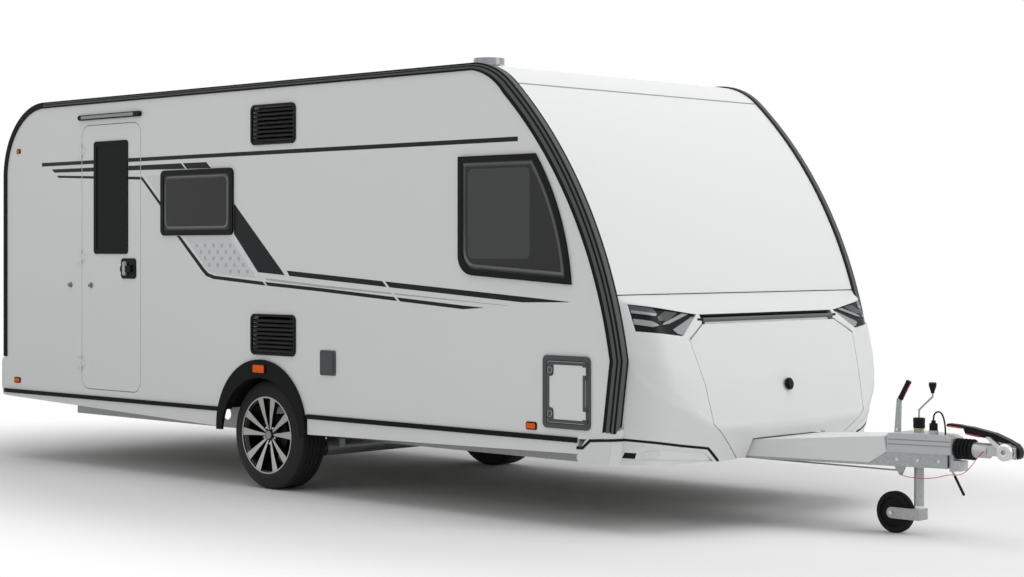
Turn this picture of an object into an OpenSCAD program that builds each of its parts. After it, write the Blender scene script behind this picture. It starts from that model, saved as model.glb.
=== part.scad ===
/* [Overall] */
// Distance from the axle to the nose of the coupling
front_reach = 4710; // [4600:5:4900]
// Depth of the rear bumper behind the rear skin
bumper_d = 40; // [30:1:80]
// Width over the side wall skins
body_w = 2300; // [2200:10:2500]

/* [Side outline] */
// Height of the roof skin above the ground
roof_z = 2575; // [2500:5:2700]
// Height of the underside of walls and floor
floor_z = 500; // [490:5:510]
// Distance from the axle to the rear wall skin
rear_x = 2980; // [2900:5:2985]
// Radius of the upper rear corner
rear_corner_r = 520; // [350:5:560]
// Radius of the bowed front face
bow_r = 2650; // [2600:5:2750]
// Foremost reach of the bow circle from the axle
bow_reach = 3038; // [3030:1:3050]
// Height of the bow circle's centre
bow_cz = 511.5; // [500:0.5:520]
// Radius of the upper front corner
front_corner_r = 450; // [400:5:500]
// Height where the front edge starts to tuck back
tuck_z = 930; // [920:5:960]
// How far the front edge tucks back per millimetre of drop
tuck_slope = 0.134; // [0.1:0.002:0.16]

/* [Panels] */
// Thickness of the sandwich walls and the roof
wall_t = 32; // [26:1:40]
// Thickness of the floor board
floor_t = 45; // [38:1:55]
// Height of the seam between front panel and nose moulding
nose_seam_z = 1276; // [1260:2:1300]
// Thickness of the nose moulding and its lid
nose_t = 30; // [24:1:36]
// Thickness of the locker partition
partition_t = 22; // [15:1:30]
// Distance from the foremost reach of the bow back to the locker partition
partition_back = 238; // [220:1:248]
// Proud height of the edge trims on the skins
trim_t = 8; // [5:0.5:12]
// Width of the edge trim on the side of the bow
bow_trim_w = 80; // [60:1:95]
// Width of the edge rail along roof and rear
rail_trim_w = 34; // [26:1:45]
// Width of the edge trims on the roof and front faces
cap_trim_w = 46; // [36:1:60]
// Height of the black moulding along the floor edge
moulding_h = 28; // [20:1:36]
// Proud height of that moulding
moulding_t = 10; // [6:0.5:14]
// Thickness of the skirt profile
skirt_t = 14; // [8:1:20]
// Height of the skirt's lower edge beside the wheels
skirt_z_mid = 380; // [370:2:400]
// Height of the skirt's lower edge at the front
skirt_z_front = 418; // [400:2:440]
// Height of the skirt's lower edge at the rear
skirt_z_rear = 456; // [440:2:470]
// Distance from the foremost reach of the bow back to the end of the skirt
skirt_back = 348; // [320:2:370]

/* [Entrance door] */
// Distance from the axle back to the hinge edge of the doorway
door_rear = 1990; // [1900:5:2000]
// Distance from the axle back to the latch edge of the doorway
door_front = 1290; // [1200:5:1300]
// Sill height of the doorway
door_z0 = 550; // [546:1:570]
// Head height of the doorway
door_z1 = 2395; // [2340:5:2400]
// Corner radius of the doorway
door_r = 85; // [60:1:110]
// Gap between a door or lid and its frame
gap = 5; // [4:0.5:8]
// Radius of the door hinge knuckles
knuckle_r = 9; // [7:0.5:10]

/* [Windows] */
// Width of the window frames
frame_w = 34; // [24:1:44]
// Proud height of the window frames
frame_t = 15; // [8:1:20]
// Thickness of the acrylic panes
pane_t = 9; // [5:1:12]
// Sill height of the kitchen window
kitchen_z0 = 1618; // [1580:2:1650]
// Head height of the side windows
window_z1 = 2052; // [2000:2:2080]
// Half the width of the rear window
rear_window_hw = 520; // [400:10:650]

/* [Wheels] */
// Tyre diameter
tyre_d = 690; // [680:2:696]
// Tyre width
tyre_w = 225; // [205:1:230]
// Rim lip diameter
rim_d = 492; // [470:2:500]
// Distance from the wall skin in to the tyre's outer face
tyre_inset = 42; // [38:1:60]
// Radius of the stub axle in the hub
stub_r = 22; // [18:0.5:26]
// Radius of the wheel opening
arch_r = 392; // [388:1:396]
// Radius of the arch trim's outer edge
arch_trim_r = 442; // [430:1:450]
// Proud height of the arch trim
arch_trim_t = 18; // [12:1:24]

/* [Chassis] */
// Distance from the wall skin in to the chassis rails' webs
rail_inset = 455; // [440:1:480]
// Height of the rails' lower edge
rail_z = 312; // [304:2:330]
// Plate thickness of the rails
rail_t = 5; // [4:0.5:8]
// Width of the rail flanges
rail_flange = 48; // [40:1:56]
// Radius of the axle tube
axle_r = 52; // [45:1:56]
// Distance from the wheel centre forward to the axle tube
arm_l = 165; // [160:1:180]
// Width of the drawbar legs
drawbar_w = 52; // [44:1:60]
// Height of the drawbar legs
drawbar_h = 74; // [66:1:80]
// Height of the drawbar legs' upper face
drawbar_z = 446; // [440:1:452]
// Length of a corner steady from its pivot to the end of its foot
steady_l = 470; // [430:5:480]

/* [Coupling and jockey wheel] */
// Height of the coupling ball's centre
ball_z = 482; // [478:1:490]
// Radius of the coupling's ball socket
ball_r = 25.2; // [25:0.1:25.5]
// Distance from the coupling's nose back to the ball's centre
nose_to_ball = 68; // [66:1:80]
// Distance from the axle to the jockey tube
jockey_x = 4100; // [4080:2:4120]
// Radius of the jockey wheel
jockey_r = 112; // [105:1:116]
// Trail of the jockey wheel behind its swivel
jockey_trail = 146; // [140:1:152]
// Width of the jockey wheel
jockey_w = 62; // [54:1:66]
// Radius of the jockey's outer tube
jockey_tube_r = 26; // [24:0.5:28]

/* [Hidden] */
$fn = 72;

// Fine circles for the long curves of the outline
bow_fn = 288;
// Arcs overlap their neighbours by this much, so that curves cross cleanly
blend = 0.2;
// Clearance of running fits, and of pieces that rest beside each other
run_fit = 0.05;
seat = 0.3;

// Places along the body, measured from the axle
rear_reach = rear_x + bumper_d;
partition_x = bow_reach - partition_back;
skirt_front = bow_reach - skirt_back;
axle_x = (rear_reach - front_reach) / 2;
half_w = body_w / 2;
in_w = half_w - wall_t;
deck_z = floor_z + floor_t;
bow_cx = bow_reach - bow_r;
fc_z = roof_z - front_corner_r;
fc_x = bow_cx + sqrt(pow(bow_r - front_corner_r, 2) - pow(fc_z - bow_cz, 2));
fc_a = atan2(fc_z - bow_cz, fc_x - bow_cx);
rc_x = rear_corner_r - rear_x;
rc_z = roof_z - rear_corner_r;
bow_dir = [cos(fc_a), sin(fc_a)];
seam_in = [bow_cx, bow_cz] + (bow_r - 400) * bow_dir;
seam_out = [bow_cx, bow_cz] + (bow_r + 100) * bow_dir;

function bow_x(z) = bow_cx + sqrt(bow_r * bow_r - pow(z - bow_cz, 2));
tuck_x = bow_x(tuck_z);
function front_x(z) = z > tuck_z ? bow_x(z) : tuck_x - (tuck_z - z) * tuck_slope;

// Puts a piece that is drawn about the axle into the part's own frame
module placed() {
  translate([axle_x, 0, 0]) children();
}

// Extrudes a side view outline across the body, centred on it
module across(w) {
  rotate([90, 0, 0]) translate([0, 0, -w / 2]) linear_extrude(w) children();
}

// Extrudes a side view outline between two distances out from the centre plane
module right_side(y0, y1) {
  rotate([90, 0, 0]) translate([0, 0, y0]) linear_extrude(y1 - y0) children();
}

module left_side(y0, y1) {
  mirror([0, 1, 0]) right_side(y0, y1) children();
}

module both_sides() {
  children();
  mirror([0, 1, 0]) children();
}

// Extrudes a front view outline, given as y and z, between two stations
module along(x0, x1) {
  translate([x0, 0, 0]) rotate([90, 0, 90]) linear_extrude(x1 - x0) children();
}

// Removes what lies outside a corner radius between two directions
module corner_cut(cx, cz, r, a0, a1) {
  reach = 3 * r;
  mid = (a0 + a1) / 2;
  translate([cx, cz]) difference() {
    polygon([
      [0, 0],
      [reach * cos(a0), reach * sin(a0)],
      [1.5 * reach * cos(mid), 1.5 * reach * sin(mid)],
      [reach * cos(a1), reach * sin(a1)]]);
    circle(r = r + blend, $fn = bow_fn);
  }
}

module round_rect(x0, z0, x1, z1, r) {
  difference() {
    translate([x0, z0]) square([x1 - x0, z1 - z0]);
    corner_cut(x0 + r, z0 + r, r, 180, 270);
    corner_cut(x1 - r, z0 + r, r, 270, 360);
    corner_cut(x1 - r, z1 - r, r, 0, 90);
    corner_cut(x0 + r, z1 - r, r, 90, 180);
  }
}

// Side view of the shell, moved in by t, down to the height foot
module side_outline(t = 0, foot = floor_z) {
  difference() {
    translate([t - rear_x, foot]) square([rear_x + bow_reach - t, roof_z - t - foot]);
    difference() {
      translate([bow_cx, foot - 50]) square([2 * bow_r, roof_z]);
      translate([bow_cx, bow_cz]) circle(r = bow_r - t, $fn = bow_fn);
    }
    corner_cut(fc_x, fc_z, front_corner_r - t, fc_a, 90);
    corner_cut(rc_x, rc_z, rear_corner_r - t, 90, 180);
    polygon([
      [tuck_x - t + 20 * tuck_slope, tuck_z + 20],
      [bow_reach + 100, tuck_z + 20],
      [bow_reach + 100, foot - 50],
      [tuck_x - t - (tuck_z - foot + 50) * tuck_slope, foot - 50]]);
  }
}

// The band between the skin and the wall's inner face, all round the outline
module shell_band(t0, t1, foot = floor_z) {
  difference() {
    side_outline(t0, foot);
    side_outline(t1, foot - 20);
  }
}

// Regions that split the band where the real panels meet
module roof_region() {
  polygon([
    [-rear_x - 100, rc_z], [0, rc_z], seam_in, seam_out,
    [seam_out[0], roof_z + 100], [-rear_x - 100, roof_z + 100]]);
}

module front_region() {
  polygon([
    seam_in, [seam_in[0], nose_seam_z], [bow_reach + 100, nose_seam_z],
    [bow_reach + 100, seam_out[1]], seam_out]);
}

// Windows with square outlines: rear edge, sill, front edge, head
kitchen_window = [-1050, kitchen_z0, -280, window_z1];
left_windows = [[-2300, kitchen_z0, -1300, window_z1], [-560, kitchen_z0, 560, window_z1]];
window_r = 38;
bow_window = [bow_reach - 1256, 1382, bow_reach - 378, window_z1];
bow_window_r = 1424;
bow_window_c = [bow_reach - 1810, 1217];
bow_window_corner = 110;
bow_window_drop = 52;
rear_window = [-rear_window_hw, 1560, rear_window_hw, window_z1 - 60];

module square_window(w, t) {
  round_rect(w[0] + t, w[1] + t, w[2] - t, w[3] - t, window_r - t / 2);
}

// The front side window, whose forward edge follows the bow
module front_window(t) {
  x0 = bow_window[0] + t;
  x1 = bow_window[2];
  z0 = bow_window[1] + t;
  z1 = bow_window[3] - t;
  r = bow_window_corner - t / 2;
  difference() {
    intersection() {
      polygon([[x0, z0], [x1, z0 - bow_window_drop], [x1, z1], [x0, z1]]);
      translate(bow_window_c) circle(r = bow_window_r - t, $fn = bow_fn);
    }
    corner_cut(x0 + r, z0 + r - 4, r, 180, 266);
  }
}

module right_windows(t) {
  square_window(kitchen_window, t);
  front_window(t);
}

module left_window_set(t) {
  for (w = left_windows) square_window(w, t);
  front_window(t);
}

// Refrigerator vents on the kitchen side: rear edge, lower edge, front edge, upper edge
vents = [[-98, 857, 338, 1116], [-98, 2187, 338, 2441]];
vent_rim = 16;
// Storage hatch ahead of the kitchen and toilet hatch opposite
hatch = [bow_reach - 596, 548, bow_reach - 252, 945];
toilet_hatch = [-2300, 640, -1940, 960];
hatch_r = 30;
hatch_rim = 26;

module hatch_area(h, t) {
  round_rect(h[0] + t, h[1] + t, h[2] - t, h[3] - t, hatch_r - t / 2);
}

module wheel_opening(r) {
  translate([0, arch_cz]) circle(r = r, $fn = bow_fn);
}

arch_cz = 322;

module floor_panel() {
  color("#b9a78c") difference() {
    translate([wall_t - rear_x, -in_w, floor_z])
      cube([rear_x - wall_t + floor_front, 2 * in_w, floor_t]);
    both_sides() translate([0, -in_w - 1, box_cz]) rotate([-90, 0, 0])
      cylinder(r = box_r + seat, h = in_w - box_y + 1 + box_t + seat);
  }
}

// The floor runs forward under the locker to the nose moulding
floor_front = front_x(floor_z) - 70;

module side_wall_right() {
  color("#f1f2f0") right_side(in_w, half_w) difference() {
    side_outline();
    right_windows(frame_w);
    doorway(0);
    for (v = vents) square_window(v, vent_rim);
    hatch_area(hatch, hatch_rim);
    wheel_opening(arch_r);
  }
}

module side_wall_left() {
  color("#f1f2f0") left_side(in_w, half_w) difference() {
    side_outline();
    left_window_set(frame_w);
    hatch_area(toilet_hatch, hatch_rim);
    wheel_opening(arch_r);
  }
}

module roof_panel() {
  color("#f4f5f3") difference() {
    across(2 * in_w) intersection() {
      shell_band(0, wall_t);
      roof_region();
    }
    for (h = skylights)
      translate([h[0] - h[1] / 2, -h[2] / 2, roof_z - wall_t - 1]) cube([h[1], h[2], wall_t + 2]);
  }
}

module front_panel() {
  color("#f4f5f3") across(2 * in_w) intersection() {
    shell_band(0, wall_t);
    front_region();
  }
}

module rear_panel() {
  color("#f4f5f3") difference() {
    translate([-rear_x, -in_w, floor_z]) cube([wall_t, 2 * in_w, rc_z - floor_z]);
    along(-rear_x - 1, wall_t - rear_x + 1) square_window(rear_window, frame_w);
  }
}

nose_foot_z = 372;
nose_y = half_w - cap_trim_w;
// Nose moulding: heights at the side, cheek and knee, reaches of cheek and knee, half width of the knee
nose_rows = [
  [nose_seam_z, nose_seam_z, nose_seam_z, bow_x(nose_seam_z), bow_x(nose_seam_z), nose_y - 404],
  [nose_seam_z - 36, nose_seam_z - 50, nose_seam_z - 96, bow_reach + 26, bow_reach + 62, nose_y - 464],
  [nose_seam_z - 196, nose_seam_z - 201, nose_seam_z - 216, bow_reach + 88, bow_reach + 110, nose_y - 314],
  [950, 908, 800, bow_reach + 130, bow_reach + 207, nose_y - 359],
  [830, 790, 572, bow_reach + 128, bow_reach + 247, nose_y - 395],
  [nose_foot_z, nose_foot_z, nose_foot_z, bow_reach + 24, bow_reach + 152, nose_y - 414]];
// Distance from the nose's side edge in to its cheeks
cheek_in = 110;

function nose_side_x(i) = front_x(nose_rows[i][0]) + (i == 0 ? 0 : trim_t);
function nose_row(i, back) = [
  [nose_side_x(i) - back, -nose_y, nose_rows[i][0]],
  [nose_rows[i][3] - back, cheek_in - nose_y, nose_rows[i][1]],
  [nose_rows[i][4] - back, -nose_rows[i][5], nose_rows[i][2]],
  [nose_rows[i][4] - back, nose_rows[i][5], nose_rows[i][2]],
  [nose_rows[i][3] - back, nose_y - cheek_in, nose_rows[i][1]],
  [nose_side_x(i) - back, nose_y, nose_rows[i][0]]];

// Lofted skin of the nose, of even depth, from side to side and seam to foot
module nose_loft(lift = 0) {
  n = len(nose_rows);
  points = [for (back = [-lift, nose_t - lift], i = [0:n - 1]) each nose_row(i, back)];
  m = len(nose_row(0, 0));
  b = m * n;
  function at(i, j) = m * i + j;
  slopes = [for (i = [0:n - 2], j = [0:2]) each [
    [at(i, j), at(i, j + 1), at(i + 1, j + 1)], [at(i, j), at(i + 1, j + 1), at(i + 1, j)]]];
  mirrored = [for (i = [0:n - 2], j = [3:m - 2]) each [
    [at(i, j), at(i, j + 1), at(i + 1, j)], [at(i, j + 1), at(i + 1, j + 1), at(i + 1, j)]]];
  front = concat(slopes, mirrored);
  rear = [for (t = front) [b + t[0], b + t[2], b + t[1]]];
  top = [for (j = [0:m - 2]) [at(0, j + 1), at(0, j), b + at(0, j), b + at(0, j + 1)]];
  foot = [for (j = [0:m - 2])
    [at(n - 1, j), at(n - 1, j + 1), b + at(n - 1, j + 1), b + at(n - 1, j)]];
  ends = [for (i = [0:n - 2]) each [
    [at(i, 0), at(i + 1, 0), b + at(i + 1, 0), b + at(i, 0)],
    [at(i + 1, m - 1), at(i, m - 1), b + at(i, m - 1), b + at(i + 1, m - 1)]]];
  polyhedron(points, concat(front, rear, top, foot, ends));
}

// Locker lid: half outline as y and z, its hinge line and the slot above it
lid_top = [nose_y - 484, nose_seam_z - 154];
lid_shoulder = [nose_y - 334, nose_seam_z - 236];
lid_waist = [nose_y - 374, 794];
lid_knee = [nose_y - 394, 582];
lid_foot_y = 425;
lid_notch = [340, 480];
lid_slot_z = nose_seam_z - 108;
lid_axis = [bow_reach + 74, nose_seam_z - 136];
lid_knuckle_r = 8;
lid_pin_r = 4;
lid_pin_l = 26;
nose_x0 = bow_reach - 238;
nose_x1 = bow_reach + 362;

function mirror_outline(half) = concat(half, [for (i = [len(half) - 1:-1:0]) [-half[i][0], half[i][1]]]);

function lid_half(g) = [
  [lid_notch[0] + g, lid_notch[1] + g],
  [lid_notch[0] + g, nose_foot_z + g],
  [lid_foot_y - g, nose_foot_z + g],
  [lid_knee[0] - g, lid_knee[1] + g / 2],
  [lid_waist[0] - g, lid_waist[1]],
  [lid_shoulder[0] - g, lid_shoulder[1] - 2 * g],
  [lid_top[0] - g, lid_top[1] - 1.5 * g]];

function lid_opening_half() = [
  [lid_foot_y - 20, nose_foot_z - 20],
  [lid_foot_y, nose_foot_z],
  lid_knee, lid_waist, lid_shoulder, lid_top,
  [lid_top[0], lid_slot_z]];

// Lamp panel beside the lid: corners as y and z, moved in by g
function lamp_corners(g) = [
  [nose_y - 30 - g, nose_seam_z - 46 - g], [nose_y - 462 + 2 * g, nose_seam_z - 108 - g / 2],
  [nose_y - 292 + g, nose_seam_z - 220 + g], [nose_y - 36 - g, nose_seam_z - 190 + g]];

// Fairing under the nose: its upper edge as y and z
function fairing_front(g) = [
  [nose_y + 1, 584 - g], [nose_y - 129, 566 - g], [nose_y - 408, 506 - g],
  [nose_y - 584 + g, nose_foot_z - 1], [nose_y - 584 + g, nose_foot_z - 30], [nose_y + 1, nose_foot_z - 30]];

module lid_knuckle(y0, y1, r = lid_knuckle_r) {
  translate([lid_axis[0], y0, lid_axis[1]]) rotate([-90, 0, 0])
    cylinder(r = r, h = y1 - y0);
}

module nose_moulding() {
  knuckle_y = lid_top[0] - 38;
  color("#f4f5f3") difference() {
    union() {
      difference() {
        nose_loft();
        along(nose_x0, nose_x1) polygon(mirror_outline(lid_opening_half()));
        both_sides() along(nose_x0, nose_x1) polygon(lamp_corners(0));
        both_sides() along(nose_x0, nose_x1) polygon(fairing_front(0));
      }
      both_sides() lid_knuckle(knuckle_y, knuckle_y + 68);
    }
    both_sides() lid_knuckle(knuckle_y - 1, knuckle_y + lid_pin_l + 1, lid_pin_r + run_fit);
  }
}

module nose_lamps() {
  color("#2b2d30") intersection() {
    nose_loft(-12);
    both_sides() along(nose_x0, nose_x1) polygon(lamp_corners(seat));
  }
}

module locker_lid() {
  lid_w = lid_top[0] - 39;
  color("#f4f5f3") union() {
    intersection() {
      nose_loft();
      along(nose_x0, nose_x1) polygon(mirror_outline(lid_half(gap)));
    }
    lid_knuckle(-lid_w, lid_w);
    lid_knuckle(-lid_w - lid_pin_l, lid_w + lid_pin_l, lid_pin_r);
    translate([lid_axis[0] - 6, -lid_w, lid_top[1] - 30]) cube([6, 2 * lid_w, lid_axis[1] - lid_top[1] + 30]);
  }
}

// Round turn lock on the lid, seated on the slope between two rows of the nose
lock_z = 768;
lock_r = 34;

module lid_lock() {
  lean = atan2(nose_rows[4][4] - nose_rows[3][4], nose_rows[3][2] - nose_rows[4][2]);
  drop = (nose_rows[3][2] - lock_z) / (nose_rows[3][2] - nose_rows[4][2]);
  x = nose_rows[3][4] + drop * (nose_rows[4][4] - nose_rows[3][4]);
  color("#1e1f21") translate([x, 0, lock_z]) rotate([0, 90 - lean, 0]) translate([0, 0, run_fit]) union() {
    cylinder(r = lock_r, h = 10);
    cylinder(r = lock_r * 0.72, h = 18);
  }
}

module locker_partition() {
  color("#d9d4c8") union() {
    translate([partition_x, -in_w, deck_z]) cube([partition_t, 2 * in_w, nose_seam_z - deck_z]);
    translate([partition_x, -in_w, nose_seam_z - partition_t])
      cube([front_x(nose_seam_z) - nose_t - 1 - partition_x, 2 * in_w, partition_t]);
  }
}

// Lower front corner with its wing along the side wall
wing_rise = [[skirt_front, 404], [skirt_front + 62, 494], [skirt_front + 216, 553]];

module corner_fairing() {
  foot_x = front_x(nose_foot_z);
  top_z = fairing_front(0)[0][1] - 1;
  union() {
    intersection() {
      nose_loft(4);
      along(nose_x0, nose_x1) mirror([1, 0]) polygon(fairing_front(1));
    }
    right_side(half_w, half_w + moulding_t) polygon(concat(wing_rise, [
      [front_x(top_z), top_z], [front_x(top_z) + trim_t, top_z],
      [foot_x + trim_t, nose_foot_z], [wing_rise[0][0] + 14, nose_foot_z]]));
    right_side(nose_y - 1, half_w) polygon([
      [wing_rise[0][0], wing_rise[0][1]], [wing_rise[0][0], floor_z], [front_x(floor_z) + trim_t, floor_z],
      [foot_x + trim_t, nose_foot_z], [wing_rise[0][0] + 14, nose_foot_z]]);
    right_side(nose_y - 1, half_w) polygon([
      [front_x(floor_z), floor_z - 1], [front_x(floor_z) + trim_t, floor_z - 1],
      [front_x(top_z) + trim_t, top_z], [front_x(top_z), top_z]]);
  }
}

module corner_fairings() {
  color("#f4f5f3") both_sides() corner_fairing();
}

// Trims over the edges where the side walls meet roof, front and rear
trim_rear_z = 742;
trim_front_z = 585;

module rail_zone() {
  union() {
    roof_region();
    translate([-rear_x - 100, trim_rear_z]) square([600, rc_z - trim_rear_z + 1]);
  }
}

module bow_zone() {
  polygon([
    seam_in, [seam_in[0], trim_front_z], [bow_reach + 100, trim_front_z],
    [bow_reach + 100, seam_out[1]], seam_out]);
}

module edge_trims() {
  color("#26282a") both_sides() union() {
    right_side(half_w, half_w + trim_t) union() {
      intersection() {
        shell_band(-trim_t, rail_trim_w);
        rail_zone();
      }
      intersection() {
        shell_band(-trim_t, bow_trim_w);
        bow_zone();
      }
    }
    right_side(half_w - cap_trim_w, half_w + trim_t / 2) intersection() {
      shell_band(-trim_t, 0);
      union() {
        rail_zone();
        bow_zone();
      }
    }
  }
}

// Skirts and the black moulding over their joint with the walls
skirt_gap = arch_trim_r + 4;
skirt_tail = rear_x - 2;

module skirts() {
  color("#f1f2f0") both_sides() right_side(half_w - skirt_t, half_w) {
    polygon([
      [-skirt_tail, floor_z], [-skirt_gap, floor_z],
      [-skirt_gap, skirt_z_mid], [-skirt_tail, skirt_z_rear]]);
    polygon([
      [skirt_gap, floor_z], [skirt_front, floor_z],
      [skirt_front, skirt_z_front], [skirt_gap, skirt_z_mid]]);
  }
}

module floor_mouldings() {
  z0 = floor_z - moulding_h + 6;
  color("#222325") both_sides() right_side(half_w, half_w + moulding_t) {
    translate([-skirt_tail, z0]) square([skirt_tail - skirt_gap, moulding_h]);
    translate([skirt_gap, z0]) square([skirt_front - skirt_gap - 1, moulding_h]);
  }
}

// Rear bumper: side view outline, lamp pockets as y0, z0, y1, z1
bumper_z0 = 462;
bumper_z1 = 740;
bumper_lamp = [690, 572, 1060, 684];
bumper_pocket = 22;

module rear_bumper() {
  color("#f1f2f0") difference() {
    across(body_w) polygon([
      [-rear_x, bumper_z0], [-rear_x, bumper_z1], [-rear_reach + 18, bumper_z1 - 6],
      [-rear_reach, bumper_z1 - 40], [-rear_reach, bumper_z0 + 70], [-rear_reach + 16, bumper_z0]]);
    both_sides() along(-rear_reach - 1, bumper_pocket - rear_reach)
      round_rect(bumper_lamp[0], bumper_lamp[1], bumper_lamp[2], bumper_lamp[3], 24);
  }
}

module rear_lamps() {
  color("#a01818") both_sides() along(1 - rear_reach, bumper_pocket - rear_reach)
    round_rect(bumper_lamp[0] + seat, bumper_lamp[1] + seat, bumper_lamp[2] - seat, bumper_lamp[3] - seat, 24);
}

// Arch trims round the wheel openings
arch_trim_cz = 385;
arch_foot_z = 362;
arch_lip = 2;

module wheel_arches() {
  color("#1d1e20") both_sides() right_side(half_w, half_w + arch_trim_t) difference() {
    translate([0, arch_trim_cz]) circle(r = arch_trim_r, $fn = bow_fn);
    wheel_opening(arch_r - arch_lip);
    translate([-arch_trim_r - 1, -arch_trim_r]) square([2 * arch_trim_r + 2, arch_trim_r + arch_foot_z]);
  }
}

// Boxes over the wheels inside the cabin
box_t = 6;
box_r = 404;
box_cz = tyre_d / 2;
box_y = half_w - tyre_inset - tyre_w - 34;

module wheel_boxes() {
  color("#5a5a58") both_sides() difference() {
    translate([0, -in_w, box_cz]) rotate([-90, 0, 0]) cylinder(r = box_r, h = in_w - box_y + box_t);
    translate([0, -in_w - 1, box_cz]) rotate([-90, 0, 0]) cylinder(r = box_r - box_t, h = in_w - box_y + 1);
    translate([-box_r - 1, -in_w - 1, box_cz - box_r - 1]) cube([2 * box_r + 2, in_w, floor_z - box_cz + box_r + 1]);
  }
}

module frame_ring(y0, y1) {
  right_side(y0, y1) difference() {
    right_windows(0);
    right_windows(frame_w);
  }
  left_side(y0, y1) difference() {
    left_window_set(0);
    left_window_set(frame_w);
  }
}

module window_frames() {
  color("#17181a") {
    frame_ring(half_w, half_w + frame_t);
    along(-rear_x - frame_t, -rear_x) difference() {
      square_window(rear_window, 0);
      square_window(rear_window, frame_w);
    }
  }
}

module window_panes() {
  y0 = half_w + 2;
  color("#2e3238", 0.6) {
    right_side(y0, y0 + pane_t) right_windows(frame_w);
    left_side(y0, y0 + pane_t) left_window_set(frame_w);
    along(-rear_x - 2 - pane_t, -rear_x - 2) square_window(rear_window, frame_w);
  }
}

// Pleated blind drawn across the rear part of the front side window
blind_x1 = bow_reach - 778;
blind_t = 4;

module window_blinds() {
  color("#b7b6b0") both_sides() right_side(in_w - blind_t, in_w) intersection() {
    front_window(frame_w - 14);
    translate([bow_window[0], bow_window[1] - 200]) square([blind_x1 - bow_window[0], 1200]);
  }
}

// Vent grilles with sloping slats
vent_t = 12;
slat_pitch = 27;
slat_drop = 15;
slat_t = 4;

module vent_grilles() {
  y0 = half_w + 0.5;
  y1 = half_w + vent_t - 2;
  color("#1b1c1e") for (v = vents) {
    union() {
      right_side(half_w, half_w + vent_t) difference() {
        square_window(v, 0);
        square_window(v, vent_rim);
      }
      slats = floor((v[3] - v[1] - 2 * vent_rim) / slat_pitch);
      for (i = [0:slats - 1]) {
        z = v[1] + vent_rim + 18 + i * slat_pitch;
        along(v[0] + vent_rim - 3, v[2] - vent_rim + 3)
          polygon([[-y0, z], [-y1, z - slat_drop], [-y1, z - slat_drop + slat_t], [-y0, z + slat_t]]);
      }
    }
  }
}

// Frames of the storage hatch and the toilet hatch with the fixed hinge knuckles, and the socket flap
hatch_frame_t = 12;
hatch_knuckle_r = 6;
hatch_axis_y = half_w + hatch_frame_t + hatch_knuckle_r + 0.5;
hatch_knuckles = [0.2, 0.8];
hatch_knuckle_l = 44;
flap_t = 9;

module hatch_frame(h) {
  union() {
    right_side(half_w, half_w + hatch_frame_t) difference() {
      hatch_area(h, 0);
      hatch_area(h, hatch_rim);
    }
    for (k = hatch_knuckles) translate([h[2] - hatch_rim, -hatch_axis_y, h[1] + k * (h[3] - h[1])]) {
      for (s = [-1, 1]) translate([0, 0, s * hatch_knuckle_l * 0.75]) {
        cylinder(r = hatch_knuckle_r, h = hatch_knuckle_l * 0.48, center = true);
        translate([0, 0, -hatch_knuckle_l * 0.24]) cube([14, 7, hatch_knuckle_l * 0.48]);
      }
    }
  }
}

module hatch_frames() {
  color("#c9cbca") {
    hatch_frame(hatch);
    mirror([0, 1, 0]) hatch_frame(toilet_hatch);
    union() {
      right_side(half_w, half_w + flap_t) round_rect(575, 754, 714, 907, 14);
      right_side(half_w, half_w + flap_t + 5) round_rect(589, 768, 700, 893, 10);
    }
  }
}

module hatch_door(h) {
  union() {
    right_side(half_w - 24, half_w + hatch_frame_t - 2) hatch_area(h, hatch_rim + gap);
    for (k = hatch_knuckles) translate([h[2] - hatch_rim, -hatch_axis_y, h[1] + k * (h[3] - h[1])]) {
      cylinder(r = hatch_knuckle_r, h = hatch_knuckle_l * 0.96, center = true);
      translate([-22, -1, -hatch_knuckle_l * 0.48])
        cube([22, hatch_knuckle_r + 4, hatch_knuckle_l * 0.96]);
    }
    for (k = hatch_knuckles) translate([h[0] + hatch_rim + 34, -half_w - 6, h[1] + k * (h[3] - h[1])])
      rotate([90, 0, 0]) cylinder(r = 17, h = hatch_frame_t + 2);
  }
}

module service_hatch() { color("#f1f2f0") hatch_door(hatch); }
module toilet_door() { color("#f1f2f0") mirror([0, 1, 0]) hatch_door(toilet_hatch); }

// Skylights: station, length and width; round flue cowl beside the kitchen
skylights = [[150, 860, 580], [-1560, 400, 400]];
skylight_h = 62;
cowl = [1480, -600];

module roof_hatches() {
  color("#3a3d40") {
    for (h = skylights) intersection() {
      across(h[2] + 90) polygon([
        [h[0] - h[1] / 2 - 45, roof_z], [h[0] + h[1] / 2 + 45, roof_z],
        [h[0] + h[1] / 2 - 20, roof_z + skylight_h], [h[0] - h[1] / 2 + 20, roof_z + skylight_h]]);
      along(h[0] - h[1], h[0] + h[1]) polygon([
        [-h[2] / 2 - 45, roof_z], [h[2] / 2 + 45, roof_z],
        [h[2] / 2 - 20, roof_z + skylight_h], [20 - h[2] / 2, roof_z + skylight_h]]);
    }
    translate([cowl[0], cowl[1], roof_z]) union() {
      cylinder(r = 66, h = 60);
      translate([0, 0, 55]) cylinder(r = 94, h = 42);
    }
  }
}

// Marker lamps: x0, z0, x1, z1 and the proud height of what they sit on
markers = [
  [-62, 738, 62, 800, arch_trim_t], [bow_reach - 730, 528, bow_reach - 648, 572, 0],
  [-2850, 552, -2768, 594, 0], [-2818, 2226, -2768, 2260, 0]];
marker_t = 11;

module marker_lamps() {
  color("#e08a1e") both_sides() for (m = markers)
    right_side(half_w + m[4], half_w + m[4] + marker_t) round_rect(m[0], m[1], m[2], m[3], 8);
  color("#c8cacb") right_side(half_w, half_w + 26) round_rect(-door_rear - 25, door_z1 + 35, 13 - door_front, door_z1 + 71, 12);
}

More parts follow.
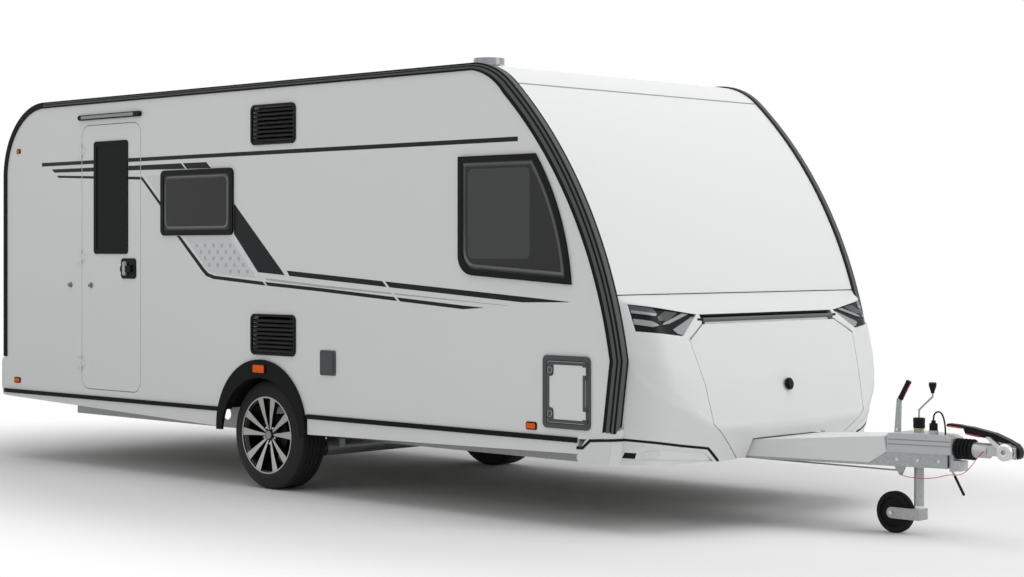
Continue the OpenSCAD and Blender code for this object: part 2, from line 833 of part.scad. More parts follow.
// Chassis rails, channels with a row of round holes in the web
rail_rear = 2720;
rail_front = 2380;
rail_y = half_w - rail_inset;
rail_hole_r = 42;
rail_hole_pitch = 310;

module chassis_rails() {
  z1 = floor_z - rail_z;
  color("#b4b8ba") both_sides() difference() {
    along(-rail_rear, rail_front) difference() {
      translate([-rail_y, rail_z]) square([rail_flange, z1]);
      translate([rail_t - rail_y, rail_z + rail_t]) square([rail_flange, z1 - 2 * rail_t]);
    }
    for (x = [rail_hole_pitch * 2 : rail_hole_pitch : rail_front - 150])
      for (s = [-1, 1]) translate([s * x, -rail_y - 1, rail_z + z1 / 2]) rotate([-90, 0, 0])
        cylinder(r = rail_hole_r, h = rail_t + 2);
  }
}

// Drawbar legs, which run in from the rails to the overrun device
drawbar_rear = 2060;
drawbar_tip = [4300, 31];
drawbar_a = 13.6;
drawbar_wall = 5;

module drawbar_leg() {
  l = (drawbar_tip[0] - drawbar_rear) / cos(drawbar_a);
  translate([drawbar_tip[0], -drawbar_tip[1], drawbar_z - drawbar_h]) rotate([0, 0, drawbar_a])
    difference() {
      translate([-l, -drawbar_w / 2, 0]) cube([l, drawbar_w, drawbar_h]);
      translate([-l - 1, drawbar_wall - drawbar_w / 2, drawbar_wall])
        cube([l + 2, drawbar_w, drawbar_h - 2 * drawbar_wall]);
    }
}

// Cross beam that ties the legs to both rails
beam_w = 60;

// Eye plate under the right leg for the breakaway cable: rear end, lengths above and below, depth
eye_plate = [4007, 70, 12, 48];
eye_plate_t = 12;

module drawbar_legs() {
  z1 = drawbar_z - drawbar_h + 1;
  mid = eye_plate[0] + eye_plate[1] / 2;
  color("#b4b8ba") union() {
    both_sides() drawbar_leg();
    translate([0, drawbar_w / 2 / cos(drawbar_a) - drawbar_out(mid), 0]) across(eye_plate_t) polygon([
      [eye_plate[0], z1], [eye_plate[0] + eye_plate[1], z1],
      [mid + eye_plate[2], z1 - eye_plate[3]], [mid, z1 - eye_plate[3]]]);
  }
}

module cross_beams() {
  beam_h = floor_z - rail_t - drawbar_z;
  color("#b4b8ba") for (x = [drawbar_rear + 30, rail_front - beam_w - 40])
    difference() {
      translate([x, rail_t - rail_y, drawbar_z]) cube([beam_w, 2 * (rail_y - rail_t), beam_h]);
      translate([x + 5, -rail_y, drawbar_z + 5]) cube([beam_w - 10, 2 * rail_y, beam_h]);
    }
}

function drawbar_out(x) =
  drawbar_tip[1] + (drawbar_tip[0] - x) * tan(drawbar_a) + drawbar_w / 2 / cos(drawbar_a);

// Moulded cover over the drawbar, open below
cover_x0 = bow_reach + 142;
cover_x1 = 3985;
cover_z0 = 386;
cover_rise = [472, 530];
// Slant of the cover's front end above and below the legs, and width of its slot for the brake lever
cover_slant = [14, 92];
cover_slot = [41, 26];
cover_wall = 8;

module cover_plan(out) {
  polygon([
    [cover_x0 - 1, -drawbar_out(cover_x0) - out], [cover_x1 + 1, -drawbar_out(cover_x1) - out],
    [cover_x1 + 1, drawbar_out(cover_x1) + out], [cover_x0 - 1, drawbar_out(cover_x0) + out]]);
}

module drawbar_cover() {
  color("#f4f5f3") difference() {
    intersection() {
      translate([0, 0, cover_z0 - 1]) linear_extrude(cover_rise[1]) cover_plan(cover_wall + seat);
      across(2 * body_w) polygon([
        [cover_x0, cover_z0], [cover_x0, cover_rise[0]], [cover_x1 - cover_slant[0], cover_rise[1]],
        [cover_x1, drawbar_z + 2], [cover_x1 - cover_slant[1], cover_z0]]);
    }
    translate([cover_x1 - cover_slot[0], -cover_slot[1] / 2, cover_z0])
      cube([cover_slot[0] + 1, cover_slot[1], cover_rise[1] - cover_z0]);
    translate([0, 0, cover_z0 - 2]) linear_extrude(drawbar_z - cover_z0 + 2) cover_plan(seat);
  }
}

// Axle tube on saddles under the rails, with swing arms and stub axles
axle_z = rail_z - axle_r - 6;
arm_y0 = rail_y + 85;
arm_t = 48;
wheel_y = half_w - tyre_inset - tyre_w;
stub_l = tyre_w - 78;

module axle() {
  color("#8d9194") union() {
    translate([arm_l, -arm_y0, axle_z]) rotate([-90, 0, 0]) cylinder(r = axle_r, h = 2 * arm_y0);
    both_sides() translate([arm_l - 64, -rail_y, axle_z]) cube([128, rail_flange, rail_z - axle_z]);
  }
}

module swing_arms() {
  color("#2a2b2c") both_sides() union() {
    right_side(arm_y0, arm_y0 + arm_t) hull() {
      translate([arm_l, axle_z]) circle(r = axle_r);
      translate([0, tyre_d / 2]) circle(r = 40);
    }
    translate([0, -arm_y0 - arm_t / 2, tyre_d / 2]) rotate([90, 0, 0])
      cylinder(r = stub_r, h = wheel_y + stub_l - arm_y0 - arm_t / 2);
  }
}

shock_low = [40, 300];
shock_high = [345, 444];
shock_y = rail_y + 48;
shock_r = 22;

module shock_absorbers() {
  dx = shock_high[0] - shock_low[0];
  dz = shock_high[1] - shock_low[1];
  l = sqrt(dx * dx + dz * dz);
  color("#7a2420") both_sides() union() {
    translate([shock_low[0], -shock_y, shock_low[1]]) rotate([0, atan2(dx, dz), 0]) {
      cylinder(r = shock_r, h = 0.62 * l);
      cylinder(r = shock_r * 0.7, h = l);
    }
    translate([shock_low[0], -arm_y0, shock_low[1]]) rotate([-90, 0, 0])
      cylinder(r = 9, h = arm_y0 - shock_y + 10);
    translate([shock_high[0], -shock_y - 10, shock_high[1]]) rotate([-90, 0, 0])
      cylinder(r = 9, h = shock_y - rail_y + 10);
  }
}

// Overrun device: housing on the drawbar, draw tube, bellows
housing_x0 = cover_x1;
housing_x1 = 4330;
housing_hw1 = 62;
housing_z1 = 548;
// Width of the cast bearing under the housing's end, and radius of the clamp's rod
bearing_w = 76;
clamp_rod_r = 6;
tube_r = 25;
coupling_axis_z = 478;

function housing_hw(x) =
  drawbar_out(housing_x0)
  + (x - housing_x0) / (housing_x1 - housing_x0) * (housing_hw1 - drawbar_out(housing_x0));

plug_at = [4211, -36];
plug_r = 22;

module overrun_housing() {
  color("#c3c6c7") difference() {
    union() {
      intersection() {
        translate([0, 0, drawbar_z]) linear_extrude(housing_z1 - drawbar_z) polygon([
          [housing_x0, -housing_hw(housing_x0)], [housing_x1, -housing_hw1],
          [housing_x1, housing_hw1], [housing_x0, housing_hw(housing_x0)]]);
        across(body_w) polygon([
          [housing_x0, drawbar_z], [housing_x0, housing_z1 - 12], [housing_x0 + 12, housing_z1],
          [housing_x1 - 40, housing_z1], [housing_x1, housing_z1 - 16], [housing_x1, drawbar_z - 20]]);
      }
      translate([plug_at[0], plug_at[1], housing_z1 - 4]) cylinder(r = plug_r + 4, h = 24);
      across(bearing_w) polygon([
        [housing_x1, drawbar_z + 1], [housing_x1 - 22, drawbar_z + 1], [housing_x1 - 22, 357],
        [housing_x1, 357], [housing_x1 + 6, 374], [housing_x1 + 14, 374], [housing_x1 + 20, 362],
        [housing_x1 + 44, 362], [housing_x1 + 44, 416], [housing_x1, 416]]);
      translate([housing_x1 - 10, -bearing_w / 2 + 8, 362]) rotate([0, 150, 0]) cylinder(r = clamp_rod_r, h = 142);
    }
    translate([jockey_x, 0, drawbar_z - 30]) cylinder(r = jockey_tube_r + run_fit, h = 200);
    translate([housing_x1 - 34, 0, coupling_axis_z]) rotate([0, 90, 0]) cylinder(r = tube_r + run_fit, h = 40);
  }
}

bellows_l = 110;
bellows_r = 55;
bellows_folds = 5;

module bellows() {
  pitch = bellows_l / bellows_folds;
  color("#202123") translate([housing_x1, 0, coupling_axis_z]) rotate([0, 90, 0]) rotate_extrude()
    polygon(concat(
      [[tube_r + run_fit, bellows_l], [tube_r + run_fit, 0]],
      [for (i = [0:bellows_folds - 1]) each [
        [bellows_r - 14, i * pitch], [bellows_r, (i + 0.35) * pitch], [bellows_r, (i + 0.65) * pitch]]],
      [[bellows_r - 14, bellows_l]]));
}

// Coupling head with its ball socket open below
ball_x = front_reach - nose_to_ball;
cup_r = 50;
head_z0 = ball_z - 26;
head_z1 = ball_z + 26;
head_x0 = housing_x1 + bellows_l;
// Friction pad housings on both sides of the socket: radius, inner and outer ends, recess
pad_r = 44;
pad_y = [38, 66];
pad_recess = [13, 8];

module coupling_head() {
  color("#8b8f92") difference() {
    union() {
      translate([housing_x1 - 30, 0, coupling_axis_z]) rotate([0, 90, 0])
        cylinder(r = tube_r, h = head_x0 - housing_x1 + 60);
      translate([head_x0, 0, coupling_axis_z]) rotate([0, 90, 0]) cylinder(r = 40, h = 84);
      translate([0, 0, head_z0]) linear_extrude(head_z1 - head_z0) {
        translate([ball_x, 0]) circle(r = cup_r);
        polygon([[head_x0 + 30, -30], [ball_x, -42], [ball_x, 42], [head_x0 + 30, 30]]);
      }
      both_sides() translate([ball_x, -pad_y[0], ball_z]) rotate([90, 0, 0]) difference() {
        cylinder(r = pad_r, h = pad_y[1] - pad_y[0]);
        translate([0, 0, pad_y[1] - pad_y[0] - pad_recess[1]]) cylinder(r = pad_recess[0], h = pad_recess[1] + 1);
      }
      translate([ball_x - 34, -20, head_z1 - 1]) cube([50, 40, handle_seat_z - head_z1 + 1]);
    }
    translate([ball_x, 0, head_z0 - 1]) cylinder(r = ball_r, h = ball_z - head_z0 + 1);
    translate([ball_x, 0, ball_z]) sphere(r = ball_r - 0.4);
  }
}

handle_seat_z = 526;
handle_w = 44;

// Handle over the coupling: a thin rear grip, a deep middle and a nose that turns down before the socket
module coupling_handle() {
  nose_x = ball_x + cup_r + 1;
  color("#18191b") across(handle_w) polygon([
    [front_reach - 431, 596], [front_reach - 426, 606], [front_reach - 370, 604], [front_reach - 280, 596],
    [front_reach - 150, 573], [front_reach - 70, 544], [front_reach - 25, 522], [front_reach - 5, 500],
    [front_reach, 478], [front_reach - 4, 456], [nose_x, 446], [nose_x, 510],
    [ball_x + 16, handle_seat_z], [ball_x - 34, handle_seat_z], [front_reach - 210, 546],
    [front_reach - 318, 560], [front_reach - 330, 588], [front_reach - 420, 592]]);
}

// Parking brake lever: a flat arm on the housing's rear face, bent forward into its grip
lever_w = [35, 24];
lever_t = 14;
lever_neck_z = 714;
grip_r = 13;
grip_l = 124;
grip_lean = 29;

module brake_lever() {
  x1 = housing_x0 - seat;
  color("#5d6164") union() {
    across(lever_t) polygon([
      [x1 - lever_w[0], drawbar_z + 4], [x1, drawbar_z + 4], [x1, housing_z1], [x1 + 4, lever_neck_z],
      [x1 + 4 - lever_w[1], lever_neck_z + 8], [x1 - lever_w[0], housing_z1]]);
    translate([x1 - lever_w[1] / 3, 0, lever_neck_z - 6]) rotate([0, grip_lean, 0]) cylinder(r = grip_r, h = grip_l);
  }
}

// Corner steadies: pivot station, distance out and height
steady_x = 1930;
steady_y = rail_y + 100;
steady_z = 438;
steady_w = 58;
steady_h = 42;
steady_pin_r = 9;
steady_foot = 104;

module steady_leg() {
  color("#9a9ea0") difference() {
    union() {
      translate([-26, -steady_w / 2, -steady_h / 2]) difference() {
        cube([steady_l - 10, steady_w, steady_h]);
        translate([-1, 5, -1]) cube([steady_l - 80, steady_w - 10, steady_h - 4]);
      }
      translate([steady_l - steady_foot - 30, -steady_foot / 2, -steady_h / 2 - 7]) cube([steady_foot, steady_foot, 8]);
      rotate([90, 0, 0]) cylinder(r = 20, h = steady_w, center = true);
    }
    rotate([90, 0, 0]) cylinder(r = steady_pin_r + run_fit, h = steady_w + 2, center = true);
  }
}

module steady_place(fore, left) {
  mirror([0, left, 0]) mirror([1 - fore, 0, 0]) translate([steady_x, -steady_y, steady_z]) children();
}

module steady_bracket() {
  cheek = steady_w / 2 + 2;
  union() {
    for (s = [-1, 1]) translate([-36, s > 0 ? cheek : -cheek - 6, -26])
      cube([72, 6, floor_z - steady_z + 26]);
    translate([-36, -cheek - 6, floor_z - steady_z - 6]) cube([72, 2 * cheek + 12, 6]);
    rotate([90, 0, 0]) cylinder(r = steady_pin_r, h = 2 * cheek + 16, center = true);
  }
}

module steady_brackets() {
  color("#85898b") for (fore = [0, 1], left = [0, 1]) steady_place(fore, left) steady_bracket();
}

module steady_front_right() { steady_place(1, 0) steady_leg(); }
module steady_front_left() { steady_place(1, 1) steady_leg(); }
module steady_rear_right() { steady_place(0, 0) steady_leg(); }
module steady_rear_left() { steady_place(0, 1) steady_leg(); }

// Entrance door with a window, hung at its rear edge on three hinges
door_axis_y = half_w + knuckle_r + 1;
door_window = [-1835, 1495, -1436, 2276];
door_window_r = 26;
door_hinge_z = [door_z0 + 180, (door_z0 + door_z1) / 2, door_z1 - 180];
hinge_l = 52;
leaf_t = 4;
leaf_w = 46;

module doorway(g) {
  round_rect(g - door_rear, door_z0 + g, -door_front - g, door_z1 - g, door_r - g);
}

module door_glass(t) {
  round_rect(door_window[0] + t, door_window[1] + t, door_window[2] - t, door_window[3] - t, door_window_r - t / 2);
}

module entrance_door() {
  color("#f1f2f0") union() {
    right_side(in_w, half_w) difference() {
      doorway(gap);
      door_glass(frame_w / 2);
    }
    for (z = door_hinge_z) translate([-door_rear, -door_axis_y, z]) {
      cylinder(r = knuckle_r, h = hinge_l - 1, center = true);
      translate([0, knuckle_r + 1 - leaf_t, -hinge_l / 2 + 0.5]) cube([leaf_w, leaf_t, hinge_l - 1]);
      translate([0, -2, -hinge_l / 2 + 0.5]) cube([knuckle_r + 4, knuckle_r + 3, hinge_l - 1]);
    }
  }
}

module door_hinges() {
  color("#d4d6d6") for (z = door_hinge_z, s = [-1, 1])
    translate([-door_rear, -door_axis_y, z + s * hinge_l * 0.75]) union() {
      cylinder(r = knuckle_r, h = hinge_l / 2, center = true);
      translate([-leaf_w, knuckle_r + 1 - leaf_t, -hinge_l / 4]) cube([leaf_w, leaf_t, hinge_l / 2]);
      translate([-knuckle_r - 4, -2, -hinge_l / 4]) cube([knuckle_r + 4, knuckle_r + 3, hinge_l / 2]);
    }
}

module door_window() {
  color("#30343a") union() {
    right_side(half_w, half_w + 8) difference() {
      door_glass(0);
      door_glass(frame_w);
    }
    right_side(half_w - 14, half_w + 3) door_glass(frame_w / 2);
  }
}

door_handle_box = [-1510, 1326, -1342, 1465];

module door_handle() {
  h = door_handle_box;
  color("#1a1b1d") union() {
    right_side(half_w, half_w + 8) round_rect(h[0], h[1], h[2], h[3], 26);
    right_side(half_w + 7, half_w + 24) round_rect(h[0] + 12, h[1] + 44, h[2] - 40, h[3] - 50, 16);
  }
}

// Road wheels
bead_r = 232;
spoke_pairs = 5;
spoke_split = 14;

module wheel_place(left) {
  mirror([0, left, 0]) translate([0, -wheel_y, tyre_d / 2]) rotate([90, 0, 0]) children();
}

module tyre() {
  r = tyre_d / 2;
  w = tyre_w;
  color("#1c1c1d") rotate_extrude($fn = 96) polygon([
    [bead_r, 12], [bead_r + 30, 0], [r - 40, 4], [r - 9, 20], [r, 42],
    [r, w - 42], [r - 9, w - 20], [r - 40, w - 4], [bead_r + 30, w], [bead_r, w - 12]]);
}

module rim() {
  w = tyre_w;
  r = bead_r - seat;
  color("#b9bcbe") difference() {
    union() {
      rotate_extrude($fn = 96) polygon([
        [r - 14, 14], [r, 14], [r, w - 11], [rim_d / 2, w - 5], [rim_d / 2, w + 2], [r - 14, w + 2]]);
      translate([0, 0, 24]) cylinder(r = 130, h = w - 84);
      translate([0, 0, w - 62]) cylinder(r = 66, h = 48);
      cylinder(r = 40, h = 60);
      translate([0, 0, w - 16]) cylinder(r = 33, h = 10);
      for (i = [0:spoke_pairs - 1], s = [-1, 1])
        rotate([0, 0, 90 + i * 360 / spoke_pairs + s * spoke_split])
          translate([0, 0, w - 42]) linear_extrude(26)
            polygon([[40, -13], [r - 8, -17], [r - 8, 17], [40, 13]]);
    }
    translate([0, 0, -1]) cylinder(r = stub_r + run_fit, h = stub_l + 4);
  }
}

module tyre_right() { wheel_place(0) tyre(); }
module tyre_left() { wheel_place(1) tyre(); }
module rim_right() { wheel_place(0) rim(); }
module rim_left() { wheel_place(1) rim(); }

// Jockey wheel: outer tube, sliding leg, swivelling fork and wheel
jockey_tube_z0 = 160;
jockey_tube_z1 = 624;
jockey_cap_h = 50;
jockey_bore = jockey_tube_r - 4;
jockey_pin_r = 8;
spigot_r = 13;
crown_z0 = 82;
crown_z1 = 142;
crown_l = 52;
fork_y = jockey_w / 2 + 6;
fork_t = 6;
// Crank: radii of the rod and its bends, height of its lower bend, upper bend and knob
crank_r = 5;
bend_r = 5.8;
crank_bend_z = 668;
crank_knee = [jockey_x + 83, 742];
knob_z = [764, 816];
knob_r = [8, 19];

module jockey_tube() {
  dx = crank_knee[0] - jockey_x;
  dz = crank_knee[1] - crank_bend_z;
  color("#aeb2b4") union() {
    difference() {
      translate([jockey_x, 0, jockey_tube_z0]) cylinder(r = jockey_tube_r, h = jockey_tube_z1 - jockey_tube_z0);
      translate([jockey_x, 0, jockey_tube_z0 - 1]) cylinder(r = jockey_bore, h = jockey_tube_z1 - jockey_tube_z0 - 20);
    }
    translate([jockey_x, 0, jockey_tube_z1 - jockey_cap_h]) cylinder(r = jockey_tube_r + 3, h = jockey_cap_h);
    translate([jockey_x, 0, jockey_tube_z1 - 1]) cylinder(r = crank_r, h = crank_bend_z - jockey_tube_z1 + 1);
    translate([jockey_x, 0, crank_bend_z]) sphere(r = bend_r);
    translate([jockey_x, 0, crank_bend_z]) rotate([0, atan2(dx, dz), 0])
      cylinder(r = crank_r, h = sqrt(dx * dx + dz * dz));
    translate([crank_knee[0], 0, crank_knee[1]]) sphere(r = bend_r);
    translate([crank_knee[0], 0, crank_knee[1]]) cylinder(r = crank_r, h = knob_z[0] - crank_knee[1] + 2);
    translate([crank_knee[0], 0, knob_z[0]]) cylinder(r1 = knob_r[0], r2 = knob_r[1], h = knob_z[1] - knob_z[0] - 14);
    translate([crank_knee[0], 0, knob_z[1] - 14]) cylinder(r = knob_r[1], h = 14);
  }
}

module jockey_leg() {
  color("#c2c6c8") translate([jockey_x, 0, 0]) union() {
    translate([0, 0, crown_z1 + seat]) cylinder(r = jockey_bore - run_fit, h = 350);
    translate([0, 0, crown_z1 + seat]) cylinder(r = jockey_tube_r + 2, h = jockey_tube_z0 - crown_z1 - 2 * seat);
    translate([0, 0, crown_z0 + 6]) cylinder(r = spigot_r, h = 60);
  }
}

module jockey_fork() {
  wx = jockey_x - jockey_trail;
  y1 = fork_y + fork_t;
  color("#9a9ea0") union() {
    difference() {
      translate([jockey_x - crown_l / 2, -y1, crown_z0]) cube([crown_l, 2 * y1, crown_z1 - crown_z0]);
      translate([jockey_x, 0, crown_z0 - 1]) cylinder(r = spigot_r + run_fit, h = crown_z1 - crown_z0 + 2);
    }
    both_sides() right_side(fork_y, y1) union() {
      polygon([
        [jockey_x + crown_l / 2, crown_z1], [wx, crown_z1], [wx, crown_z0], [jockey_x + crown_l / 2, crown_z0]]);
      translate([wx, (crown_z0 + crown_z1) / 2]) circle(r = (crown_z1 - crown_z0) / 2);
    }
    translate([wx, -y1 - 6, jockey_r]) rotate([-90, 0, 0]) cylinder(r = jockey_pin_r, h = 2 * y1 + 12);
  }
}

module jockey_wheel() {
  w = jockey_w;
  r = jockey_r;
  color("#202122") translate([jockey_x - jockey_trail, w / 2, jockey_r]) rotate([90, 0, 0])
    rotate_extrude($fn = 96) polygon([
      [jockey_pin_r + run_fit, 0], [30, 0], [30, 12], [r - 34, 16], [r - 30, 4], [r - 10, 4], [r, 18],
      [r, w - 18], [r - 10, w - 4], [r - 30, w - 4], [r - 34, w - 16], [30, w - 12], [30, w],
      [jockey_pin_r + run_fit, w]]);
}

// Plug parked in its holder, its lead, and the thin breakaway cable
plug_z0 = housing_z1 + 20;
plug_h = 52;
plug_lead_d = 9;
plug_lead_path = [
  [4211, -36, 620], [4211, -36, 634], [4214, -36, 648], [4223, -36, 660], [4235, -36, 666],
  [4248, -36, 666], [4260, -36, 658], [4268, -36, 645], [4274, -36, 628], [4279, -36, 606],
  [4282, -36, 580], [4283, -36, 548]];
breakaway_d = 4;
breakaway_path = [
  [4047, -99.7, 336], [4048, -106, 334], [4056, -112, 329], [4076, -113, 324], [4116, -110, 319],
  [4168, -103, 317], [4220, -94, 320], [4262, -86, 327], [4296, -79, 337], [4324, -72, 344],
  [4350, -66, 346], [4374, -62, 347], [4398, -60, 354], [4424, -58, 372], [4452, -56, 402],
  [4480, -53, 440], [4500, -48, 463], [4510, -42.4, 477]];

function unit(v) = v / norm(v);
function tangent(p, i) = unit(p[min(i + 1, len(p) - 1)] - p[max(i - 1, 0)]);

// Tube of a given number of sides along a route
module swept(path, d, sides) {
  n = len(path);
  rings = [for (i = [0:n - 1])
    let (t = tangent(path, i), u = unit(cross(t, [0.31, 0.95, 0.02])), v = cross(t, u))
      for (k = [0:sides - 1]) path[i] + d / 2 * (cos(k * 360 / sides) * u + sin(k * 360 / sides) * v)];
  function at(i, k) = i * sides + k % sides;
  walls = [for (i = [0:n - 2], k = [0:sides - 1]) each [
    [at(i, k), at(i, k + 1), at(i + 1, k + 1)], [at(i, k), at(i + 1, k + 1), at(i + 1, k)]]];
  caps = [[for (k = [sides - 1:-1:0]) k], [for (k = [0:sides - 1]) (n - 1) * sides + k]];
  polyhedron(rings, concat(walls, caps));
}

module plug() {
  color("#1b1c1e") translate([plug_at[0], plug_at[1], plug_z0]) union() {
    cylinder(r = plug_r, h = plug_h * 0.7);
    cylinder(r = plug_r * 0.55, h = plug_h);
  }
}

module plug_cable() { color("#1b1c1e") swept(plug_lead_path, plug_lead_d, 10); }
module breakaway_cable() { color("#b02a22") swept(breakaway_path, breakaway_d, 8); }

placed() floor_panel();
placed() side_wall_right();
placed() side_wall_left();
placed() roof_panel();
placed() front_panel();
placed() rear_panel();
placed() nose_moulding();
placed() locker_partition();
placed() corner_fairings();
placed() edge_trims();
placed() skirts();
placed() floor_mouldings();
placed() rear_bumper();
placed() rear_lamps();
placed() wheel_arches();
placed() wheel_boxes();
placed() window_frames();
placed() window_panes();
placed() window_blinds();
placed() vent_grilles();
placed() hatch_frames();
placed() door_hinges();
placed() roof_hatches();
placed() marker_lamps();
placed() nose_lamps();
placed() chassis_rails();
placed() cross_beams();
placed() drawbar_legs();
placed() drawbar_cover();
placed() axle();
placed() swing_arms();
placed() shock_absorbers();
placed() overrun_housing();
placed() bellows();
placed() coupling_head();
placed() coupling_handle();
placed() brake_lever();
placed() jockey_tube();
placed() steady_brackets();
placed() plug();
placed() plug_cable();
placed() breakaway_cable();
placed() entrance_door();
placed() door_window();
placed() door_handle();
placed() locker_lid();
placed() lid_lock();
placed() service_hatch();
placed() toilet_door();
placed() steady_front_right();
placed() steady_front_left();
placed() steady_rear_right();
placed() steady_rear_left();
placed() tyre_right();
placed() rim_right();
placed() tyre_left();
placed() rim_left();
placed() jockey_leg();
placed() jockey_fork();
placed() jockey_wheel();
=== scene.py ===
"""Dress a packed touring caravan with finishes, livery, fittings, cords, light and a camera.

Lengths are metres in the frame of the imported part. Stations along the body are written in
millimetres from the axle, forward positive, and at() moves them into the frame.
"""

from __future__ import annotations

import logging
import math
from dataclasses import dataclass, field
from enum import Enum
from typing import Iterable, Sequence

import bmesh
import bpy
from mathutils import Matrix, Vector

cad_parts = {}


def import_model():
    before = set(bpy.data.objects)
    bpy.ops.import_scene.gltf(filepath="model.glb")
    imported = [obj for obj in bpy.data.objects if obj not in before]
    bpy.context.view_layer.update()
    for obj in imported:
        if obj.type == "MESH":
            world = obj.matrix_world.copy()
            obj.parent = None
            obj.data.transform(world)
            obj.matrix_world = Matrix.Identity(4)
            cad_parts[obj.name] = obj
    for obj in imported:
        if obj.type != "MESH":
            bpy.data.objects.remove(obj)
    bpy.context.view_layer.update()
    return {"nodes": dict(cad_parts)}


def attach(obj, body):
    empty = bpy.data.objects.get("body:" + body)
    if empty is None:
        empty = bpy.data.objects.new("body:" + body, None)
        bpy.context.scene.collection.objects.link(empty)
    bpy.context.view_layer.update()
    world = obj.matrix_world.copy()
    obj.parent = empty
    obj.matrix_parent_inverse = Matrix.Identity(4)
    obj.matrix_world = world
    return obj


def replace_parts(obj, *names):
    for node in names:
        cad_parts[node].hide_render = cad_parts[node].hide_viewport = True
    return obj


LOG = logging.getLogger("caravan")

Point = tuple[float, float, float]
Flat = tuple[float, float]
Colour = tuple[float, float, float]
Outline = Sequence[Flat]

AXLE_X = -0.845
WALL_Y = 1.150
NOSE_HALF = 1104
CHEEK_HALF = 994
ROOT = "caravan"
DUST_COLOUR = (0.33, 0.31, 0.28, 1.0)
WELD = 1e-6
SHARP = math.radians(40)


class Side(Enum):
    """Sides of the body, valued by the sign of y."""

    RIGHT = -1
    LEFT = 1


class Grain(Enum):
    """Surface textures that the finishes share."""

    PEEL = "paint_peel"
    MOULDED = "moulded_grain"
    BRUSHED = "brushed_lines"
    SPANGLE = "zinc_spangle"
    WEAVE = "pleat_weave"
    BOARD = "board_grain"


GRAIN_STRETCH: dict[Grain, Point] = {
    Grain.BRUSHED: (0.04, 1.0, 1.0),
    Grain.BOARD: (0.05, 1.0, 1.0),
    Grain.WEAVE: (0.02, 0.02, 1.0),
}


def at(x: float, y: float, z: float) -> Point:
    """Return a point in metres from millimetres measured at the axle."""
    return (x / 1000 + AXLE_X, y / 1000, z / 1000)


@dataclass(frozen=True)
class Net:
    """A node tree with short ways to add nodes and to join them."""

    tree: bpy.types.NodeTree

    @classmethod
    def group(cls, name: str, kind: str, inputs: Sequence[tuple], outputs: Sequence[tuple]) -> Net:
        """Make a node group with its sockets.

        Args:
            name: The group's name.
            kind: The tree's type.
            inputs: Each input's name, its type without the prefix, and its default where it has one.
            outputs: Each output's name and type.

        Returns:
            The group's net.
        """
        tree = bpy.data.node_groups.new(name, kind)
        for way, sockets in (("INPUT", inputs), ("OUTPUT", outputs)):
            for label, form, *value in sockets:
                item = tree.interface.new_socket(name=label, in_out=way, socket_type=f"NodeSocket{form}")
                if value:
                    item.default_value = value[0]
        return cls(tree)

    @staticmethod
    def fill(node: bpy.types.Node, values: dict[str | int, object]) -> bpy.types.Node:
        """Set a node's inputs by name or number, and return the node."""
        for key, value in values.items():
            node.inputs[key].default_value = value
        return node

    def add(
        self, kind: str, values: dict[str | int, object] | None = None, **settings: object
    ) -> bpy.types.Node:
        """Add one node.

        Args:
            kind: The node's type.
            values: Values of its inputs, by name or number.
            **settings: Its own properties, set before the inputs.

        Returns:
            The node.
        """
        node = self.tree.nodes.new(kind)
        for key, value in settings.items():
            setattr(node, key, value)
        return self.fill(node, values or {})

    def join(self, *links: tuple[bpy.types.Node, str, bpy.types.Node, str | int]) -> None:
        """Join nodes; each row is a node, its output, the next node and that one's input."""
        for source, output, target, entry in links:
            self.tree.links.new(source.outputs[output], target.inputs[entry])

    def strew(
        self, gin: bpy.types.Node, shape: bpy.types.Node, output: str, material: bpy.types.Material
    ) -> bpy.types.Node:
        """Add the nodes that set a shape on every point and give out the painted mesh.

        Args:
            gin: The group's input node, whose Geometry holds the points.
            shape: The node that makes the shape.
            output: That node's output.
            material: The shapes' material.

        Returns:
            The node that sets the shapes, for its rotation.
        """
        spread, real = self.add("GeometryNodeInstanceOnPoints"), self.add("GeometryNodeRealizeInstances")
        paint = self.add("GeometryNodeSetMaterial", {"Material": material})
        self.join((gin, "Geometry", spread, "Points"), (shape, output, spread, "Instance"),
                  (spread, "Instances", real, "Geometry"), (real, "Geometry", paint, "Geometry"),
                  (paint, "Geometry", self.add("NodeGroupOutput"), "Geometry"))
        return spread


